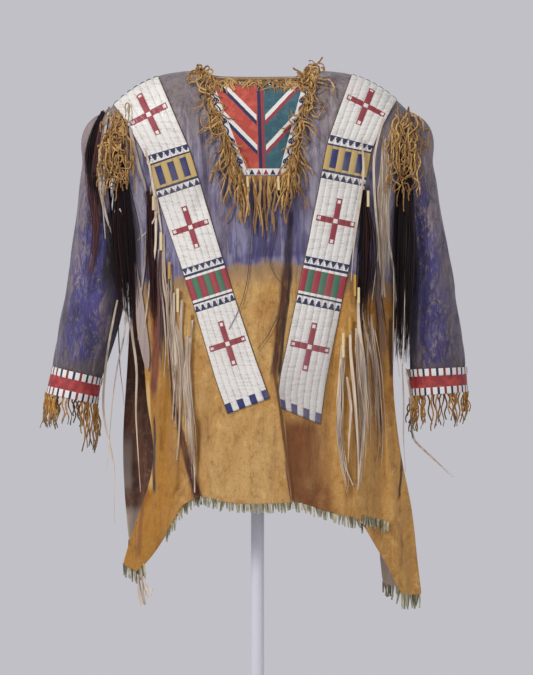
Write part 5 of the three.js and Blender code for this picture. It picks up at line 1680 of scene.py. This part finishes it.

# %% [markdown]
# ## Loose cords and a tuft
#
# Four thin twisted cords hang loose on the chest, and a bunch of thongs is knotted under the right
# pendant. There are only a few of them and none follows a rule, so each is listed on its own. They are
# strands like the rest, so that they curve and taper in the same way.

# %% Loose cords on the chest, and the knotted tuft under the right pendant
CORDS = [
    [(-10, 1060), (-9, 1010), (-12, 969), (-16, 900), (-24, 855), (-38, 817), (-54, 789)],
    [(34, 1050), (36, 1010), (33, 969), (21, 928), (27, 898), (41, 879)],
    [(39, 817), (22, 781), (0, 751)],
    [(12, 1060), (14, 1000), (10, 950), (13, 915)],
]
cord_routes = [placed(points, 26, -1, 4 * MM) for points in CORDS]
cords = strands("chest_cords", cord_routes, 1.7 * MM, 1.5 * MM, narrowing(0.5), own=[0.95, 0.9, 0.85, 0.9])
# Each thong of the tuft with its tone.
TUFT = [
    (0.1, [(-222, 326), (-226, 300), (-222, 276)]), (0.3, [(-224, 326), (-220, 296), (-214, 272)]),
    (0.2, [(-220, 326), (-214, 300), (-206, 283)]), (0.1, [(-216, 324), (-210, 302), (-198, 298)]),
    (0.4, [(-218, 326), (-216, 296), (-212, 270)]), (0.2, [(-226, 328), (-224, 296), (-218, 268)]),
    (0.1, [(-214, 322), (-212, 306), (-200, 288)]),
]
tuft_tones, tuft_lines = zip(*TUFT)
tuft_routes = [placed(line, 10, -1, (2 + k) * MM) for k, line in enumerate(tuft_lines)]
tuft = strands(
    "pendant_tuft", tuft_routes, 3.4 * MM, 1.6 * MM, lambda along: 0.8 + 0.2 * along, own=tuft_tones,
)
print("cords:", len(CORDS), "thongs in the tuft:", len(TUFT))


# %% Finishes of hair, hide strips and wrapping
def hair_paint():
    paint = Paint("hair", roughness=0.5)
    own = paint.value_of("own")
    locks = paint.ease(paint.noise(70, 3, 0.55, (2, 2, 0.15)), 0.4, 0.6)
    light = paint.mix(locks, shade(216, 200, 178), shade(178, 158, 140))
    middle = paint.mix(paint.ease(own, 0.25, 0.55), light, shade(112, 88, 84))
    brown = paint.mix(paint.ease(own, 0.6, 0.78), middle, shade(86, 46, 44))
    colour = paint.mix(paint.ease(own, 0.82, 0.95), brown, shade(30, 20, 22))
    return paint.done(colour, paint.noise(900, 2), 0.2 * MM, 0.4)


def strip_paint():
    paint = Paint("pale_hide", roughness=0.8, sheen=0.1)
    own = paint.value_of("own")
    grain = paint.noise(120, 4, 0.6, (1.4, 1.4, 0.12))
    colour = paint.mix(paint.ease(grain, 0.4, 0.62), shade(206, 190, 168), shade(178, 158, 138))
    colour = paint.mix(paint.ease(paint.noise(14, 3), 0.52, 0.68) * 0.4, colour, shade(156, 142, 138))
    colour = paint.mix(paint.ease(own, 0.1, 0.5) * 0.6, colour, shade(128, 112, 118))
    colour = paint.mix(paint.ease(own, 0.55, 0.9), colour, shade(60, 36, 34))
    return paint.done(colour, grain, 0.8 * MM, 0.6)


def quill_paint():
    paint = Paint("quill_wrapping", roughness=0.45)
    turns = abs((paint.value_of("share") * 60).wave())
    colour = paint.mix(paint.value_of("own"), shade(226, 208, 160), shade(196, 148, 62))
    colour = paint.mix((1 - turns) * 0.5, colour, shade(110, 76, 40))
    return paint.done(colour, turns, 0.4 * MM, 0.5)


dress(hair_paint(), *hair_pieces.values())
dress(quill_paint(), *wrap_pieces.values(), tubes)
dress(strip_paint(), *strips_of_hide.values(), fur_strip, cords, tuft)
print("finishes so far:", len(bpy.data.materials))

# %% [markdown]
# ## The stand
#
# The stand is a turned base, a pole and a bent bar. Round bodies like these are already smooth enough
# as packed, so the nodes stay as they are and only get their paint: a pale satin coat with the faint
# mottle of a sprayed finish.

# %% Paint on the stand
def stand_paint():
    paint = Paint("stand_paint", roughness=0.42, coat=0.1)
    colour = paint.mix(paint.noise(40, 2) * 0.5, shade(206, 205, 212), shade(193, 191, 199))
    return paint.done(colour, paint.noise(700, 2), 0.1 * MM, 0.25)


stand = [nodes[name] for name in ("stand_base", "stand_pole", "stand_yoke")]
for piece in stand:
    piece.data.materials.clear()
dress(stand_paint(), *stand)
print("stand:", len(stand), "nodes keep their packed shape")

# %% [markdown]
# ## Putting it together
#
# Every piece rides on the one rigid body, says which imported node it stands for and which finish it
# has. One table holds all of it.

# %% What each piece stands for
PARTS = [
    (front, ["front_panel"], "hide"), (back, ["back_panel"], "hide"),
    (band, ["neck_band"], "neck_cloth"), (fur_strip, [], "hide"),
    (low_fringe, ["neck_fringe_low"], "thongs"), (collar, [], "thongs"), (tubes, [], "thongs"),
    (cords, [], "hair"), (tuft, [], "hem_fringe"),
]
HEM_NODES = {
    "hem_thongs_front": ["hem_fringe_front"], "hem_thongs_back": ["hem_fringe_back"],
    "pendant_thongs_right": ["pendant_fringe_right"], "pendant_thongs_left": ["pendant_fringe_left"],
}
PARTS += [(piece, HEM_NODES.get(name, []), "hem_fringe") for name, piece in hem_pieces.items()]
for side, wool in (("right", "red_wool"), ("left", "green_wool")):
    PARTS += [
        (bib_fringes[side], [f"neck_fringe_{side}"], "thongs"), (loops[side], [], "thongs"),
        (sleeves[side], [f"sleeve_{side}"], "hide"), (strips[side], [f"strip_{side}"], "beadwork"),
        (bibs[side], [f"bib_{side}"], wool), (cuffs[side], [f"cuff_{side}"], "cuff_wool"),
        (cuff_fringes[side], [f"cuff_fringe_{side}"], "thongs"),
        (shoulder_pieces[side][0], [f"shoulder_fringe_{side}"], "thongs"),
        (shoulder_pieces[side][1], [], "thongs"),
        (hair_pieces[f"{side}_front"], [f"hair_locks_{side}_front"], "hair"),
        (hair_pieces[f"{side}_back"], [f"hair_locks_{side}_back"], "hair"),
        (wrap_pieces[side], [], "hair"), (strips_of_hide[side], [], "hair"),
    ]
for piece, stands_for, finish in PARTS:
    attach(piece, "root")
    if stands_for:
        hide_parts(*stands_for)
print("pieces:", len(PARTS), "standing for", sum(len(row[1]) for row in PARTS), "packed nodes")

# %% [markdown]
# ## Light, floor and camera
#
# The object is lit as in a studio: one large soft light above and to the left, a weaker one on the
# other side, and a pale room all round. Small lights would draw hard shadows of every thong. The
# camera stands far back with a long lens, so that the shirt is seen almost without perspective.

# %% Floor, lights and camera
floor_mesh = bpy.data.meshes.new("floor")
floor_shape = bmesh.new()
bmesh.ops.create_circle(floor_shape, cap_ends=True, segments=96, radius=1.7)
floor_shape.to_mesh(floor_mesh)
floor_shape.free()
floor = object_of("floor", floor_mesh)
floor_paint = Paint("floor", roughness=0.9)
floor_mesh.materials.append(floor_paint.done(
    floor_paint.mix(floor_paint.noise(3, 2) * 0.3, shade(214, 214, 220), shade(204, 204, 212)),
))
floor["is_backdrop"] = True

world = bpy.data.worlds.new("room")
world.use_nodes = True
world.node_tree.nodes["Background"].inputs["Color"].default_value = shade(193, 192, 198)
world.node_tree.nodes["Background"].inputs["Strength"].default_value = 1.0
bpy.context.scene.world = world
bpy.context.scene.view_settings.view_transform = "Standard"


def soft_light(name, place, target, size, power):
    data = bpy.data.lights.new(name, "AREA")
    data.shape = "DISK"
    data.size = size
    data.energy = power
    lamp = bpy.data.objects.new(name, data)
    bpy.context.scene.collection.objects.link(lamp)
    lamp.location = place
    lamp.rotation_euler = (Vector(target) - Vector(place)).to_track_quat("-Z", "Y").to_euler()
    return lamp


soft_light("key", (-2.4, -2.6, 3.2), (0, 0, 0.8), 1.2, 125)
soft_light("fill", (2.8, -2.4, 1.2), (0, 0, 0.8), 2.2, 16)
soft_light("behind", (0.8, 3.4, 2.0), (0, 0, 0.9), 2.4, 14)

CAMERA_FAR = 9.0
VIEW_HEIGHT = 1.2825
camera_data = bpy.data.cameras.new("camera")
camera_data.lens = 36 * CAMERA_FAR / VIEW_HEIGHT
camera_data.clip_end = 60
camera = bpy.data.objects.new("camera", camera_data)
bpy.context.scene.collection.objects.link(camera)
camera.location = (0.017, -CAMERA_FAR, 0.774)
camera.rotation_euler = (math.radians(90), 0, 0)
bpy.context.scene.camera = camera
print("lens:", round(camera_data.lens), "mm at", CAMERA_FAR, "m")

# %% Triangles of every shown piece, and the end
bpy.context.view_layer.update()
total = 0
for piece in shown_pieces():
    piece.data.calc_loop_triangles()
    count = len(piece.data.loop_triangles)
    total += count
    print(f"{piece.name}: {count} triangles")
print("in all:", total)
